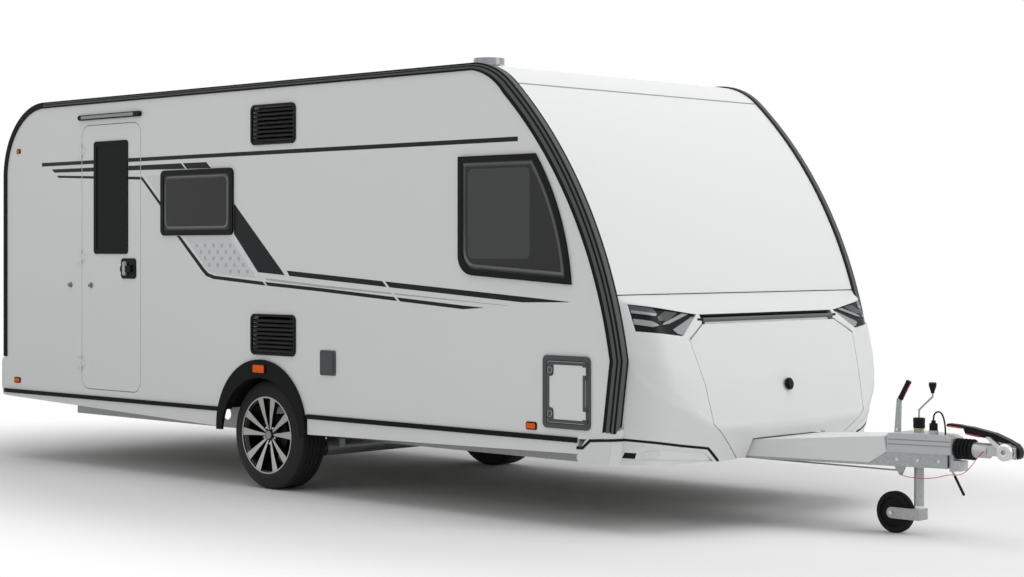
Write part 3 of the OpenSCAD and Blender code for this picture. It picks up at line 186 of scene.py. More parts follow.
@dataclass
class ShaderGroups:
    """Shader node groups that several finishes share, each built once."""

    made: dict[str, bpy.types.ShaderNodeTree] = field(default_factory=dict)

    def grain(self, kind: Grain) -> bpy.types.ShaderNodeTree:
        """Return the group that gives a texture's value and height.

        Args:
            kind: The texture.

        Returns:
            A group with inputs Vector and Scale and outputs Value and Height.
        """
        if kind.value in self.made:
            return self.made[kind.value]
        net = Net.group(kind.value, "ShaderNodeTree", (("Vector", "Vector"), ("Scale", "Float", 100.0)),
                        (("Value", "Float"), ("Height", "Float")))
        gin, gout = net.add("NodeGroupInput"), net.add("NodeGroupOutput")
        stretch = net.add("ShaderNodeVectorMath", {1: GRAIN_STRETCH.get(kind, (1.0, 1.0, 1.0))},
                          operation="MULTIPLY")
        if kind is Grain.SPANGLE:
            fine = net.add("ShaderNodeTexVoronoi", {"Randomness": 1.0})
            split = net.add("ShaderNodeSeparateColor")
            net.join((fine, "Color", split, "Color"), (split, "Red", gout, "Value"),
                     (fine, "Distance", gout, "Height"))
        elif kind is Grain.WEAVE:
            fine = net.add("ShaderNodeTexWave", {"Distortion": 0.15}, bands_direction="Z")
        else:
            detail = 3.0 if kind is Grain.MOULDED else 2.0
            fine = net.add("ShaderNodeTexNoise", {"Detail": detail, "Roughness": 0.55})
        if kind is not Grain.SPANGLE:
            net.join((fine, "Fac", gout, "Value"), (fine, "Fac", gout, "Height"))
        net.join((gin, "Vector", stretch, 0), (stretch, "Vector", fine, "Vector"),
                 (gin, "Scale", fine, "Scale"))
        self.made[kind.value] = net.tree
        return net.tree

    def dust(self) -> bpy.types.ShaderNodeTree:
        """Return the group that masks road dust, thick near the ground and broken by noise.

        Returns:
            A group with inputs Vector, Top and Amount and the output Mask.
        """
        name = "road_dust"
        if name in self.made:
            return self.made[name]
        net = Net.group(name, "ShaderNodeTree", (("Vector", "Vector"), ("Top", "Float", 0.6),
                                                 ("Amount", "Float", 0.3)), (("Mask", "Float"),))
        gin, gout = net.add("NodeGroupInput"), net.add("NodeGroupOutput")
        split = net.add("ShaderNodeSeparateXYZ")
        fall = net.add("ShaderNodeMapRange", {"From Min": 0.0, "To Min": 1.0, "To Max": 0.0})
        noise = net.add("ShaderNodeTexNoise", {"Scale": 7.0, "Detail": 4.0})
        part, whole = (net.add("ShaderNodeMath", operation="MULTIPLY") for _ in range(2))
        net.join((gin, "Vector", split, "Vector"), (gin, "Vector", noise, "Vector"),
                 (split, "Z", fall, "Value"), (gin, "Top", fall, "From Max"), (fall, "Result", part, 0),
                 (noise, "Fac", part, 1), (part, "Value", whole, 0), (gin, "Amount", whole, 1),
                 (whole, "Value", gout, "Mask"))
        self.made[name] = net.tree
        return net.tree


GROUPS = ShaderGroups()


@dataclass(frozen=True)
class Finish:
    """One finish: a base colour with a texture, uneven gloss and, where it has any, road dust."""

    name: str
    colour: Colour
    roughness: float = 0.4
    metallic: float = 0.0
    coat: float = 0.0
    grain: Grain = Grain.MOULDED
    scale: float = 420.0
    bump: float = 0.04
    variation: float = 0.05
    dust: float = 0.0
    dust_top: float = 0.7
    transmission: float = 0.0
    glow: float = 0.0
    specular: float = 0.5
    coat_roughness: float = 0.06
    bump_height: float = 0.002
    gloss_swing: float = 0.05

    def shades(self) -> tuple[tuple[float, ...], tuple[float, ...]]:
        """Return the darker and the lighter shade that the texture mixes."""
        low = tuple(max(0.0, c * (1 - self.variation)) for c in self.colour)
        high = tuple(min(1.0, c * (1 + self.variation)) for c in self.colour)
        return (*low, 1.0), (*high, 1.0)

    def material(self) -> bpy.types.Material:
        """Return the finish as a material, built on first use.

        Returns:
            The material, shared by every piece with this finish.
        """
        label = f"{self.name}_finish"
        found = bpy.data.materials.get(label)
        if found is not None:
            return found
        mat = bpy.data.materials.new(label)
        mat.use_nodes = True
        net = Net(mat.node_tree)
        shader = net.fill(mat.node_tree.nodes["Principled BSDF"], {
            "Metallic": self.metallic, "Specular IOR Level": self.specular, "Coat Weight": self.coat,
            "Coat Roughness": self.coat_roughness, "Transmission Weight": self.transmission,
        })
        coords = net.add("ShaderNodeTexCoord")
        grain = net.add("ShaderNodeGroup", {"Scale": self.scale}, node_tree=GROUPS.grain(self.grain))
        low, high = self.shades()
        tint = net.add("ShaderNodeMix", {"A": low, "B": high}, data_type="RGBA")
        net.join((coords, "Object", grain, "Vector"), (grain, "Value", tint, "Factor"))
        colour = self.layer(net, coords, tint)
        gloss = net.add("ShaderNodeMapRange", {"To Min": max(0.02, self.roughness - self.gloss_swing),
                                               "To Max": min(1.0, self.roughness + self.gloss_swing)})
        net.join((colour, "Result", shader, "Base Color"), (grain, "Value", gloss, "Value"),
                 (gloss, "Result", shader, "Roughness"))
        if self.bump:
            bump = net.add("ShaderNodeBump", {"Strength": self.bump, "Distance": self.bump_height})
            net.join((grain, "Height", bump, "Height"), (bump, "Normal", shader, "Normal"))
        if self.glow:
            net.join((colour, "Result", shader, "Emission Color"))
            net.fill(shader, {"Emission Strength": self.glow})
        return mat

    def layer(self, net: Net, coords: bpy.types.Node, tint: bpy.types.Node) -> bpy.types.Node:
        """Lay road dust over the base colour where the finish has it.

        Args:
            net: The material's nodes.
            coords: The texture coordinate node.
            tint: The mix node of the base colour.

        Returns:
            The mix node of the dusted colour.
        """
        if not self.dust:
            return tint
        dust = net.add("ShaderNodeGroup", {"Top": self.dust_top, "Amount": self.dust},
                       node_tree=GROUPS.dust())
        over = net.add("ShaderNodeMix", {"B": DUST_COLOUR}, data_type="RGBA")
        net.join((coords, "Object", dust, "Vector"), (dust, "Mask", over, "Factor"),
                 (tint, "Result", over, "A"))
        return over


@dataclass(frozen=True)
class CutFinish(Finish):
    """A machined finish: bright on faces that look along y beyond a depth, dark elsewhere."""

    dark: Colour = (0.02, 0.02, 0.022)
    depth: float = 1.05
    facing: float = 0.6

    def layer(self, net: Net, coords: bpy.types.Node, tint: bpy.types.Node) -> bpy.types.Node:
        """Darken what lies inside the cut plane or faces sideways.

        Args:
            net: The material's nodes.
            coords: The texture coordinate node.
            tint: The mix node of the base colour.

        Returns:
            The mix node of the two-colour result.
        """
        both = net.add("ShaderNodeMath", operation="MULTIPLY")
        for i, (output, limit) in enumerate((("Object", self.depth), ("Normal", self.facing))):
            split, size = net.add("ShaderNodeSeparateXYZ"), net.add("ShaderNodeMath", operation="ABSOLUTE")
            over = net.add("ShaderNodeMath", {1: limit}, operation="GREATER_THAN")
            net.join((coords, output, split, "Vector"), (split, "Y", size, 0), (size, "Value", over, 0),
                     (over, "Value", both, i))
        mix = net.add("ShaderNodeMix", {"A": (*self.dark, 1.0)}, data_type="RGBA")
        net.join((both, "Value", mix, "Factor"), (tint, "Result", mix, "B"))
        return mix


WHITE = Finish("body_white", (0.80, 0.815, 0.815), 0.34, coat=0.12, grain=Grain.PEEL, scale=160, bump=0.012,
               variation=0.012, dust=0.10, dust_top=0.9)
NOSE_WHITE = Finish("nose_white", (0.76, 0.775, 0.775), 0.42, specular=0.3, grain=Grain.PEEL, scale=120,
                    bump=0.01, variation=0.01, dust=0.12, dust_top=0.7)
TRIM_BLACK = Finish("trim_black", (0.009, 0.0095, 0.0105), 0.42, scale=700, bump=0.05, variation=0.15,
                    specular=0.07)
# Grey of the bow trim's ridges and crest is painted highlight: the sheen of the glossy black trim.
TRIM_HIGHLIGHT = Finish("trim_painted_highlight", (0.095, 0.10, 0.10), 0.5, scale=400, bump=0.05, specular=0.2)
FRAME_BLACK = Finish("frame_black", (0.010, 0.0105, 0.0115), 0.36, scale=800, bump=0.05, variation=0.15,
                     specular=0.1)
PANE_EDGE = Finish("pane_edge", (0.045, 0.047, 0.05), 0.22, coat=0.5, grain=Grain.PEEL, scale=200, bump=0.01)
SHADE_GREY = Finish("shade_grey", (0.078, 0.084, 0.084), 0.45, grain=Grain.WEAVE, scale=160, bump=0.05,
                    specular=0.1)
SEAL = Finish("black_seal", (0.009, 0.009, 0.010), 0.6, scale=500, bump=0.05, variation=0.2, specular=0.15)
LIVERY_DARK = Finish("livery_dark", (0.014, 0.0155, 0.017), 0.3, grain=Grain.PEEL, scale=300, bump=0.01,
                     specular=0.15)
LIVERY_SILVER = Finish("livery_silver", (0.44, 0.45, 0.46), 0.34, 0.5, scale=900, bump=0.02, variation=0.06)
LIVERY_PALE = Finish("livery_pale", (0.62, 0.63, 0.64), 0.3, 0.45, scale=900, bump=0.02, variation=0.06)
ACRYLIC = Finish("tinted_acrylic", (0.024, 0.026, 0.028), 0.06, grain=Grain.PEEL, scale=12, bump=0.004,
                 variation=0.02, transmission=0.5, specular=0.1)
DOOR_ACRYLIC = Finish("dark_acrylic", (0.008, 0.009, 0.010), 0.06, grain=Grain.PEEL, scale=12, bump=0.004,
                      variation=0.02, transmission=0.08, specular=0.04)
BLIND = Finish("pleated_blind", (0.42, 0.42, 0.40), 0.8, grain=Grain.WEAVE, scale=26, bump=0.5, variation=0.1)
BOARD = Finish("floor_board", (0.20, 0.185, 0.165), 0.6, grain=Grain.BOARD, scale=30, bump=0.1,
               variation=0.18, dust=0.3)
ZINC = Finish("galvanised_steel", (0.38, 0.395, 0.40), 0.42, 0.75, grain=Grain.SPANGLE, scale=150, bump=0.03,
              variation=0.12, dust=0.35)
CAST_GREY = Finish("cast_grey", (0.50, 0.51, 0.515), 0.42, 0.6, scale=260, bump=0.12, variation=0.12)
BLACK_STEEL = Finish("black_steel", (0.028, 0.028, 0.03), 0.45, 0.2, scale=300, bump=0.08, variation=0.2,
                     dust=0.3)
BRIGHT = Finish("bright_steel", (0.66, 0.67, 0.68), 0.25, 0.95, grain=Grain.BRUSHED, scale=500, bump=0.02,
                variation=0.06)
BRASS = Finish("brass_ring", (0.55, 0.40, 0.10), 0.35, 0.8, grain=Grain.BRUSHED, scale=300, bump=0.02)
LEVER_GREY = Finish("lever_grey", (0.42, 0.43, 0.44), 0.35, 0.4, grain=Grain.BRUSHED, scale=300, bump=0.02)
GREY_PLASTIC = Finish("grey_plastic", (0.24, 0.245, 0.25), 0.5, scale=600, bump=0.08, variation=0.06)
HATCH_GREY = Finish("hatch_grey", (0.08, 0.086, 0.088), 0.5, scale=600, bump=0.08, variation=0.06,
                    specular=0.25)
STEP_GREY = Finish("step_grey", (0.10, 0.104, 0.108), 0.4, scale=400, bump=0.05)
RIDGE_GREY = Finish("ridge_grey", (0.26, 0.265, 0.27), 0.5, scale=500, bump=0.05)
HOUSING_GREY = Finish("housing_grey", (0.52, 0.53, 0.54), 0.45, scale=500, bump=0.08, variation=0.06)
BOX_BLACK = Finish("box_black", (0.010, 0.010, 0.011), 0.7, scale=200, bump=0.15, variation=0.2, specular=0.1)
RUBBER = Finish("black_rubber", (0.010, 0.010, 0.0105), 0.7, scale=380, bump=0.15, variation=0.2,
                specular=0.15)
TYRE = Finish("tyre_rubber", (0.014, 0.0145, 0.015), 0.72, scale=300, bump=0.18, variation=0.2, dust=0.06,
              specular=0.25)
RIM = CutFinish("machined_alloy", (0.44, 0.435, 0.42), 0.32, 0.8, grain=Grain.BRUSHED, scale=400, bump=0.02,
                variation=0.08, coat=0.4)
HUB_BLACK = Finish("hub_black", (0.012, 0.012, 0.013), 0.4, scale=300, bump=0.05, specular=0.2)
LAMP_RED = Finish("lamp_red", (0.42, 0.012, 0.012), 0.12, coat=0.6, grain=Grain.WEAVE, scale=120, bump=0.2,
                  variation=0.2)
LAMP_AMBER = Finish("lamp_amber", (0.80, 0.12, 0.002), 0.3, grain=Grain.WEAVE, scale=120, bump=0.2,
                    variation=0.15, glow=0.05, specular=0.12)
LAMP_CLEAR = Finish("lamp_clear", (0.72, 0.74, 0.75), 0.15, coat=0.5, grain=Grain.WEAVE, scale=160, bump=0.15,
                    variation=0.08)
LAMP_DARK = Finish("lamp_dark", (0.010, 0.011, 0.012), 0.24, grain=Grain.PEEL, scale=200, bump=0.01,
                   specular=0.1)
LAMP_GREY = Finish("lamp_grey", (0.075, 0.08, 0.083), 0.2, 0.2, specular=0.3, grain=Grain.BRUSHED, scale=300,
                   bump=0.02)
LAMP_PALE = Finish("lamp_pale", (0.30, 0.315, 0.32), 0.3, 0.2, specular=0.3, grain=Grain.BRUSHED, scale=300,
                   bump=0.02)
SHOCK_RED = Finish("shock_red", (0.34, 0.03, 0.025), 0.4, scale=200, bump=0.05, dust=0.3)
RED_PLASTIC = Finish("red_plastic", (0.55, 0.03, 0.025), 0.4, scale=500, bump=0.06)
SMOKED = Finish("smoked_dome", (0.30, 0.31, 0.33), 0.15, coat=0.4, scale=60, bump=0.01, variation=0.05)

FINISH_NODES: tuple[tuple[Finish, str], ...] = (
    (WHITE, "side_wall_right side_wall_left roof_panel front_panel rear_panel skirts door_hinges"
            " entrance_door service_hatch toilet_door"),
    (NOSE_WHITE, "nose_moulding corner_fairings rear_bumper drawbar_cover locker_lid"),
    (TRIM_BLACK, "edge_trims floor_mouldings wheel_arches"),
    (FRAME_BLACK, "window_frames vent_grilles coupling_handle door_handle lid_lock"),
    (ZINC, "chassis_rails cross_beams drawbar_legs axle brake_lever jockey_tube steady_brackets jockey_fork"
           " steady_front_right steady_front_left steady_rear_right steady_rear_left"),
    (BOARD, "floor_panel locker_partition"),
    (RUBBER, "bellows plug jockey_wheel"),
    (TYRE, "tyre_right tyre_left"),
    (RIM, "rim_right rim_left"),
    (LAMP_RED, "rear_lamps"),
    (LAMP_AMBER, "marker_lamps"),
    (LAMP_DARK, "nose_lamps"),
    (BOX_BLACK, "wheel_boxes"),
    (ACRYLIC, "window_panes"),
    (DOOR_ACRYLIC, "door_window"),
    (BLIND, "window_blinds"),
    (HATCH_GREY, "hatch_frames"),
    (SMOKED, "roof_hatches"),
    (BLACK_STEEL, "swing_arms"),
    (SHOCK_RED, "shock_absorbers"),
    (HOUSING_GREY, "overrun_housing"),
    (CAST_GREY, "coupling_head"),
    (BRIGHT, "jockey_leg"),
)
NODE_FINISH = {node: finish for finish, nodes in FINISH_NODES for node in nodes.split()}


def finished(
    name: str,
    verts: Iterable[Sequence[float]],
    faces: Iterable[Sequence[int]],
    finish: Finish,
    body: str = ROOT,
    smooth: float | None = None,
    bevel: float = 0.0,
) -> bpy.types.Object:
    """Make one finished piece from points and faces, riding on a body.

    Args:
        name: The piece's name.
        verts: Points in the frame, in metres.
        faces: Faces as point numbers.
        finish: The piece's finish.
        body: The body that carries it.
        smooth: Angle in degrees under which edges are shaded smooth, or none for flat faces.
        bevel: Width of the rounding on sharp edges.

    Returns:
        The piece's object, at the origin.
    """
    mesh = bpy.data.meshes.new(name)
    mesh.from_pydata([tuple(v) for v in verts], [], [tuple(f) for f in faces])
    work = bmesh.new()
    work.from_mesh(mesh)
    bmesh.ops.remove_doubles(work, verts=work.verts, dist=WELD)
    bmesh.ops.recalc_face_normals(work, faces=work.faces)
    if bevel:
        sharp = [e for e in work.edges if e.is_manifold and e.calc_face_angle(0) > SHARP]
        bmesh.ops.bevel(work, geom=sharp, offset=bevel, segments=2, affect="EDGES", clamp_overlap=True)
    work.to_mesh(mesh)
    work.free()
    return placed_mesh(name, mesh, finish, body, smooth)


def placed_mesh(
    name: str,
    mesh: bpy.types.Mesh,
    finish: Finish,
    body: str = ROOT,
    smooth: float | None = None,
) -> bpy.types.Object:
    """Link a mesh as a piece of the caravan and hang it on its body.

    Args:
        name: The piece's name.
        mesh: The finished mesh, placed in the frame.
        finish: The piece's finish.
        body: The body that carries it.
        smooth: Angle in degrees under which edges are shaded smooth.

    Returns:
        The piece's object.
    """
    if smooth is not None:
        mesh.shade_smooth()
        mesh.set_sharp_from_angle(angle=math.radians(smooth))
    mesh.materials.clear()
    mesh.materials.append(finish.material())
    obj = bpy.data.objects.new(name, mesh)
    bpy.context.scene.collection.objects.link(obj)
    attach(obj, body)
    LOG.info("piece %s on %s: %d faces", name, body, len(mesh.polygons))
    return obj


@dataclass
class Solid:
    """Points and faces that a piece is gathered from."""

    verts: list[Vector] = field(default_factory=list)
    faces: list[tuple[int, ...]] = field(default_factory=list)

    def add(self, verts: Iterable[Sequence[float]], faces: Iterable[Sequence[int]]) -> Solid:
        """Add points and faces, and return the solid."""
        base = len(self.verts)
        self.verts.extend(Vector(v) for v in verts)
        self.faces.extend(tuple(base + i for i in f) for f in faces)
        return self

    def merge(self, other: Solid) -> Solid:
        """Add another solid, and return this one."""
        return self.add(other.verts, other.faces)

    def hoop(self, rows: Sequence[Sequence[Sequence[float]]]) -> Solid:
        """Add a ring skinned through closed outlines of equal point counts, back to the first."""
        n, m = len(rows[0]), len(rows)
        faces = [(a * n + i, a * n + (i + 1) % n, b * n + (i + 1) % n, b * n + i)
                 for a, b in ((k, (k + 1) % m) for k in range(m)) for i in range(n)]
        return self.add([p for row in rows for p in row], faces)

    def bar(self, rows: Sequence[Sequence[Sequence[float]]]) -> Solid:
        """Add a bar skinned through sections of equal point counts, closed at both ends."""
        n = len(rows[0])
        last = (len(rows) - 1) * n
        walls = [(i + k, i + (k + 1) % n, i + n + (k + 1) % n, i + n + k)
                 for i in range(0, last, n) for k in range(n)]
        caps = [tuple(range(n))[::-1], tuple(range(last, last + n))]
        return self.add([p for row in rows for p in row], [*caps, *walls])

    def prism(self, ring: Sequence[Sequence[float]], push: Sequence[float]) -> Solid:
        """Add a closed outline pushed along a vector.

        Args:
            ring: The outline's points, in order.
            push: The way from the first cap to the second.

        Returns:
            The solid itself.
        """
        n = len(ring)
        low = [Vector(p) for p in ring]
        high = [p + Vector(push) for p in low]
        walls = [(i, (i + 1) % n, n + (i + 1) % n, n + i) for i in range(n)]
        return self.add(low + high, [tuple(range(n))[::-1], tuple(range(n, 2 * n)), *walls])

    def across(self, section: Outline, half: float) -> Solid:
        """Add a bar across the centre plane.

        Args:
            section: Its outline as stations and heights, in millimetres from the axle.
            half: Half its length in millimetres.

        Returns:
            The solid itself.
        """
        return self.prism([at(x, -half, z) for x, z in section], (0, 2 * half / 1000, 0))

    def wall_plate(self, ring: Outline, side: Side, y0: float, y1: float) -> Solid:
        """Add a plate on a side wall from an outline in x and z.

        Args:
            ring: Outline in metres, x in the frame and z.
            side: The wall's side.
            y0: Distance of the plate's back from the centre plane.
            y1: Distance of its face.

        Returns:
            The solid itself.
        """
        s = side.value
        return self.prism([(x, s * y0, z) for x, z in ring], (0, s * (y1 - y0), 0))

    def tube(
        self, path: Sequence[Sequence[float]], radius: float, sides: int = 10, closed: bool = False
    ) -> Solid:
        """Add a round tube along a path.

        Args:
            path: The centre line's points.
            radius: The tube's radius.
            sides: Faces round the tube.
            closed: True where the path returns to its start.

        Returns:
            The solid itself.
        """
        pts = [Vector(p) for p in path]
        n = len(pts)
        rings: list[Vector] = []
        guide = Vector((0.31, 0.95, 0.02))
        for i, p in enumerate(pts):
            before = pts[i - 1] if closed or i else p
            after = pts[(i + 1) % n] if closed or i < n - 1 else p
            run = (after - before).normalized()
            u = run.cross(guide).normalized()
            v = run.cross(u)
            rings.extend(
                p + radius * (math.cos(math.tau * k / sides) * u + math.sin(math.tau * k / sides) * v)
                for k in range(sides)
            )
        last = n if closed else n - 1
        faces: list[tuple[int, ...]] = []
        for i in range(last):
            a, b = i * sides, (i + 1) % n * sides
            faces.extend((a + k, a + (k + 1) % sides, b + (k + 1) % sides, b + k) for k in range(sides))
        if not closed:
            faces.append(tuple(range(sides))[::-1])
            faces.append(tuple((n - 1) * sides + k for k in range(sides)))
        return self.add(rings, faces)

    def turned(
        self, profile: Sequence[Flat], centre: Sequence[float], axis: Sequence[float], steps: int = 48
    ) -> Solid:
        """Add a shape turned about an axis.

        Args:
            profile: Points as radius and distance along the axis; a closed outline.
            centre: The point on the axis where that distance is nothing.
            axis: The axis' direction.
            steps: Faces round the axis.

        Returns:
            The solid itself.
        """
        turn = Vector((0, 0, 1)).rotation_difference(Vector(axis)).to_matrix()
        n = len(profile)
        verts = []
        for i in range(steps):
            c, s = math.cos(math.tau * i / steps), math.sin(math.tau * i / steps)
            verts.extend(Vector(centre) + turn @ Vector((r * c, r * s, d)) for r, d in profile)
        faces = []
        for i in range(steps):
            a, b = i * n, (i + 1) % steps * n
            faces.extend((a + k, b + k, b + (k + 1) % n, a + (k + 1) % n) for k in range(n))
        return self.add(verts, faces)

    def both(self) -> Solid:
        """Add the mirror image across the centre plane, and return the solid."""
        twin = Solid([Vector((v.x, -v.y, v.z)) for v in self.verts], [f[::-1] for f in self.faces])
        return self.merge(twin)

    def piece(
        self,
        name: str,
        finish: Finish,
        slot: str,
        body: str = ROOT,
        smooth: float | None = None,
        bevel: float = 0.0,
    ) -> bpy.types.Object:
        """Return the solid as a finished piece; see finished()."""
        return finished(name, self.verts, self.faces, finish, body, smooth, bevel)


def rounded(x0: float, z0: float, x1: float, z1: float, r: float, steps: int = 6) -> list[Flat]:
    """Return the outline of a rectangle with rounded corners.

    Args:
        x0: Lowest first coordinate.
        z0: Lowest second coordinate.
        x1: Highest first coordinate.
        z1: Highest second coordinate.
        r: Corner radius.
        steps: Parts of each corner arc.

    Returns:
        Points in order round the outline.
    """
    out = []
    centres = ((x1 - r, z1 - r), (x0 + r, z1 - r), (x0 + r, z0 + r), (x1 - r, z0 + r))
    for quarter, (cx, cz) in enumerate(centres):
        for i in range(steps + 1):
            a = math.radians(90 * quarter + 90 * i / steps)
            out.append((cx + r * math.cos(a), cz + r * math.sin(a)))
    return out


def side_outline(ring: Sequence[Flat]) -> list[Flat]:
    """Return an outline in millimetres from the axle as metres in the frame."""
    return [(x / 1000 + AXLE_X, z / 1000) for x, z in ring]


def smooth_path(points: Sequence[Sequence[float]], parts: int) -> list[Vector]:
    """Return a path through points with extra points on one smooth curve.

    Args:
        points: The points that the curve passes.
        parts: Steps between neighbours.

    Returns:
        The finer path.
    """
    p = [Vector(v) for v in points]
    p = [2 * p[0] - p[1], *p, 2 * p[-1] - p[-2]]
    out = []
    for i in range(1, len(p) - 2):
        a, b, c, d = p[i - 1:i + 3]
        for k in range(parts):
            t = k / parts
            bend = (2 * a - 5 * b + 4 * c - d) * t**2 + (3 * b - a - 3 * c + d) * t**3
            out.append(0.5 * (2 * b + (c - a) * t + bend))
    return [*out, p[-2]]


@dataclass
class Studio:
    """Pale floor, soft light and the camera."""

    eye: Point = at(9864, -9143, 1508)
    heading: float = 43.8
    lens: float = 69.9
    rise: float = -0.0356
    floor_half: float = 60.0
    shadow_reach: Point = (1 / 4.6, 1 / 2.6, 1.0)
    shadow_fade: Flat = (0.85, 1.45)
    ambient: float = 0.42
    lamps: tuple[tuple[str, Point, Point, float, float], ...] = (
        ("overhead", (1.5, -0.5, 9.0), (0.3, 0, 1), 9.0, 330),
        ("front_fill", (10.0, 3.0, 5.0), (1.5, 0, 1.2), 5.0, 270),
        ("side_fill", (-3.0, -11.0, 5.0), (-1.0, 0, 1.2), 6.0, 70),
    )

    def camera(self) -> None:
        """Set the camera level, at the photograph's angle."""
        data = bpy.data.cameras.new("camera")
        data.lens = self.lens
        data.sensor_width = 36.0
        data.shift_y = self.rise
        data.clip_end = 200.0
        cam = bpy.data.objects.new("camera", data)
        cam.location = self.eye
        cam.rotation_euler = (math.radians(90), 0, math.radians(self.heading))
        bpy.context.scene.collection.objects.link(cam)
        bpy.context.scene.camera = cam

    def floor(self) -> None:
        """Lay a pale floor that keeps the caravan's shadow and is white where it is seen far off."""
        mesh = bpy.data.meshes.new("floor")
        h = self.floor_half
        mesh.from_pydata([(-h, -h, 0), (h, -h, 0), (h, h, 0), (-h, h, 0)], [], [(0, 1, 2, 3)])
        mat = bpy.data.materials.new("studio_floor")
        mat.use_nodes = True
        net = Net(mat.node_tree)
        shader = net.fill(mat.node_tree.nodes["Principled BSDF"], {
            "Base Color": (0.93, 0.93, 0.93, 1), "Roughness": 0.9, "Specular IOR Level": 0.0,
        })
        near, far = self.shadow_fade
        white, blend = net.add("ShaderNodeEmission"), net.add("ShaderNodeMixShader")
        place, path = net.add("ShaderNodeTexCoord"), net.add("ShaderNodeLightPath")
        squeeze = net.add("ShaderNodeVectorMath", {1: self.shadow_reach}, operation="MULTIPLY")
        reach = net.add("ShaderNodeVectorMath", operation="LENGTH")
        fade = net.add("ShaderNodeMapRange", {"From Min": near, "From Max": far},
                       interpolation_type="SMOOTHSTEP")
        seen = net.add("ShaderNodeMath", operation="MULTIPLY")
        net.join((place, "Object", squeeze, 0), (squeeze, "Vector", reach, 0),
                 (reach, "Value", fade, "Value"), (fade, "Result", seen, 0), (path, "Is Camera Ray", seen, 1),
                 (seen, "Value", blend, "Fac"), (shader, "BSDF", blend, 1), (white, "Emission", blend, 2),
                 (blend, "Shader", mat.node_tree.nodes["Material Output"], "Surface"))
        mesh.materials.append(mat)
        obj = bpy.data.objects.new("floor", mesh)
        bpy.context.scene.collection.objects.link(obj)

    def world(self) -> None:
        """Light the scene evenly, with a white background where a ray is seen."""
        world = bpy.data.worlds.new("studio_world")
        world.use_nodes = True
        bpy.context.scene.world = world
        net = Net(world.node_tree)
        sky = net.fill(world.node_tree.nodes["Background"], {"Color": (1, 1, 1, 1)})
        path = net.add("ShaderNodeLightPath")
        seen, clear = (net.add("ShaderNodeMath", operation="MAXIMUM") for _ in range(2))
        level = net.add("ShaderNodeMapRange", {"To Min": self.ambient, "To Max": 1.0})
        net.join((path, "Is Camera Ray", seen, 0), (path, "Is Transmission Ray", clear, 0),
                 (path, "Is Glossy Ray", clear, 1), (clear, "Value", seen, 1),
                 (seen, "Value", level, "Value"), (level, "Result", sky, "Strength"))

    def lamp(self, name: str, place: Point, aim: Point, size: float, watts: float) -> None:
        """Hang one square soft light.

        Args:
            name: The lamp's name.
            place: Where it hangs.
            aim: The point that it faces.
            size: Its width.
            watts: Its power.
        """
        data = bpy.data.lights.new(name, "AREA")
        data.shape = "SQUARE"
        data.size = size
        data.energy = watts
        lamp = bpy.data.objects.new(name, data)
        lamp.location = place
        lamp.rotation_euler = (Vector(aim) - Vector(place)).to_track_quat("-Z", "Y").to_euler()
        bpy.context.scene.collection.objects.link(lamp)

    def build(self) -> None:
        """Make the whole studio."""
        bpy.context.scene.view_settings.view_transform = "Standard"
        self.camera()
        self.floor()
        self.world()
        for row in self.lamps:
            self.lamp(*row)


@dataclass(frozen=True)
class Ribbon:
    """A stripe between an upper and a lower edge, each a chain of stations and heights in mm."""

    name: str
    finish: Finish
    top: tuple[Flat, ...]
    bottom: tuple[Flat, ...]

    @staticmethod
    def height(edge: Sequence[Flat], x: float) -> float:
        """Return an edge's height at a station."""
        for (x0, z0), (x1, z1) in zip(edge, edge[1:]):
            if x0 <= x <= x1:
                return z0 + (z1 - z0) * (x - x0) / max(x1 - x0, 1e-9)
        return edge[-1][1] if x > edge[-1][0] else edge[0][1]

    def outline(self, x0: float, x1: float) -> list[Flat]:
        """Return the stripe's outline between two stations.

        Args:
            x0: The rear limit.
            x1: The front limit.

        Returns:
            The clipped outline in metres, or nothing where the stripe lies outside.
        """
        lo, hi = max(x0, self.top[0][0]), min(x1, self.top[-1][0])
        if hi - lo < 1:
            return []
        stations = sorted({lo, hi, *(x for x, _ in self.top + self.bottom if lo < x < hi)})
        upper = [(x, self.height(self.top, x)) for x in stations]
        lower = [(x, min(self.height(self.bottom, x), self.height(self.top, x) - 0.5)) for x in stations]
        return side_outline(upper + lower[::-1])


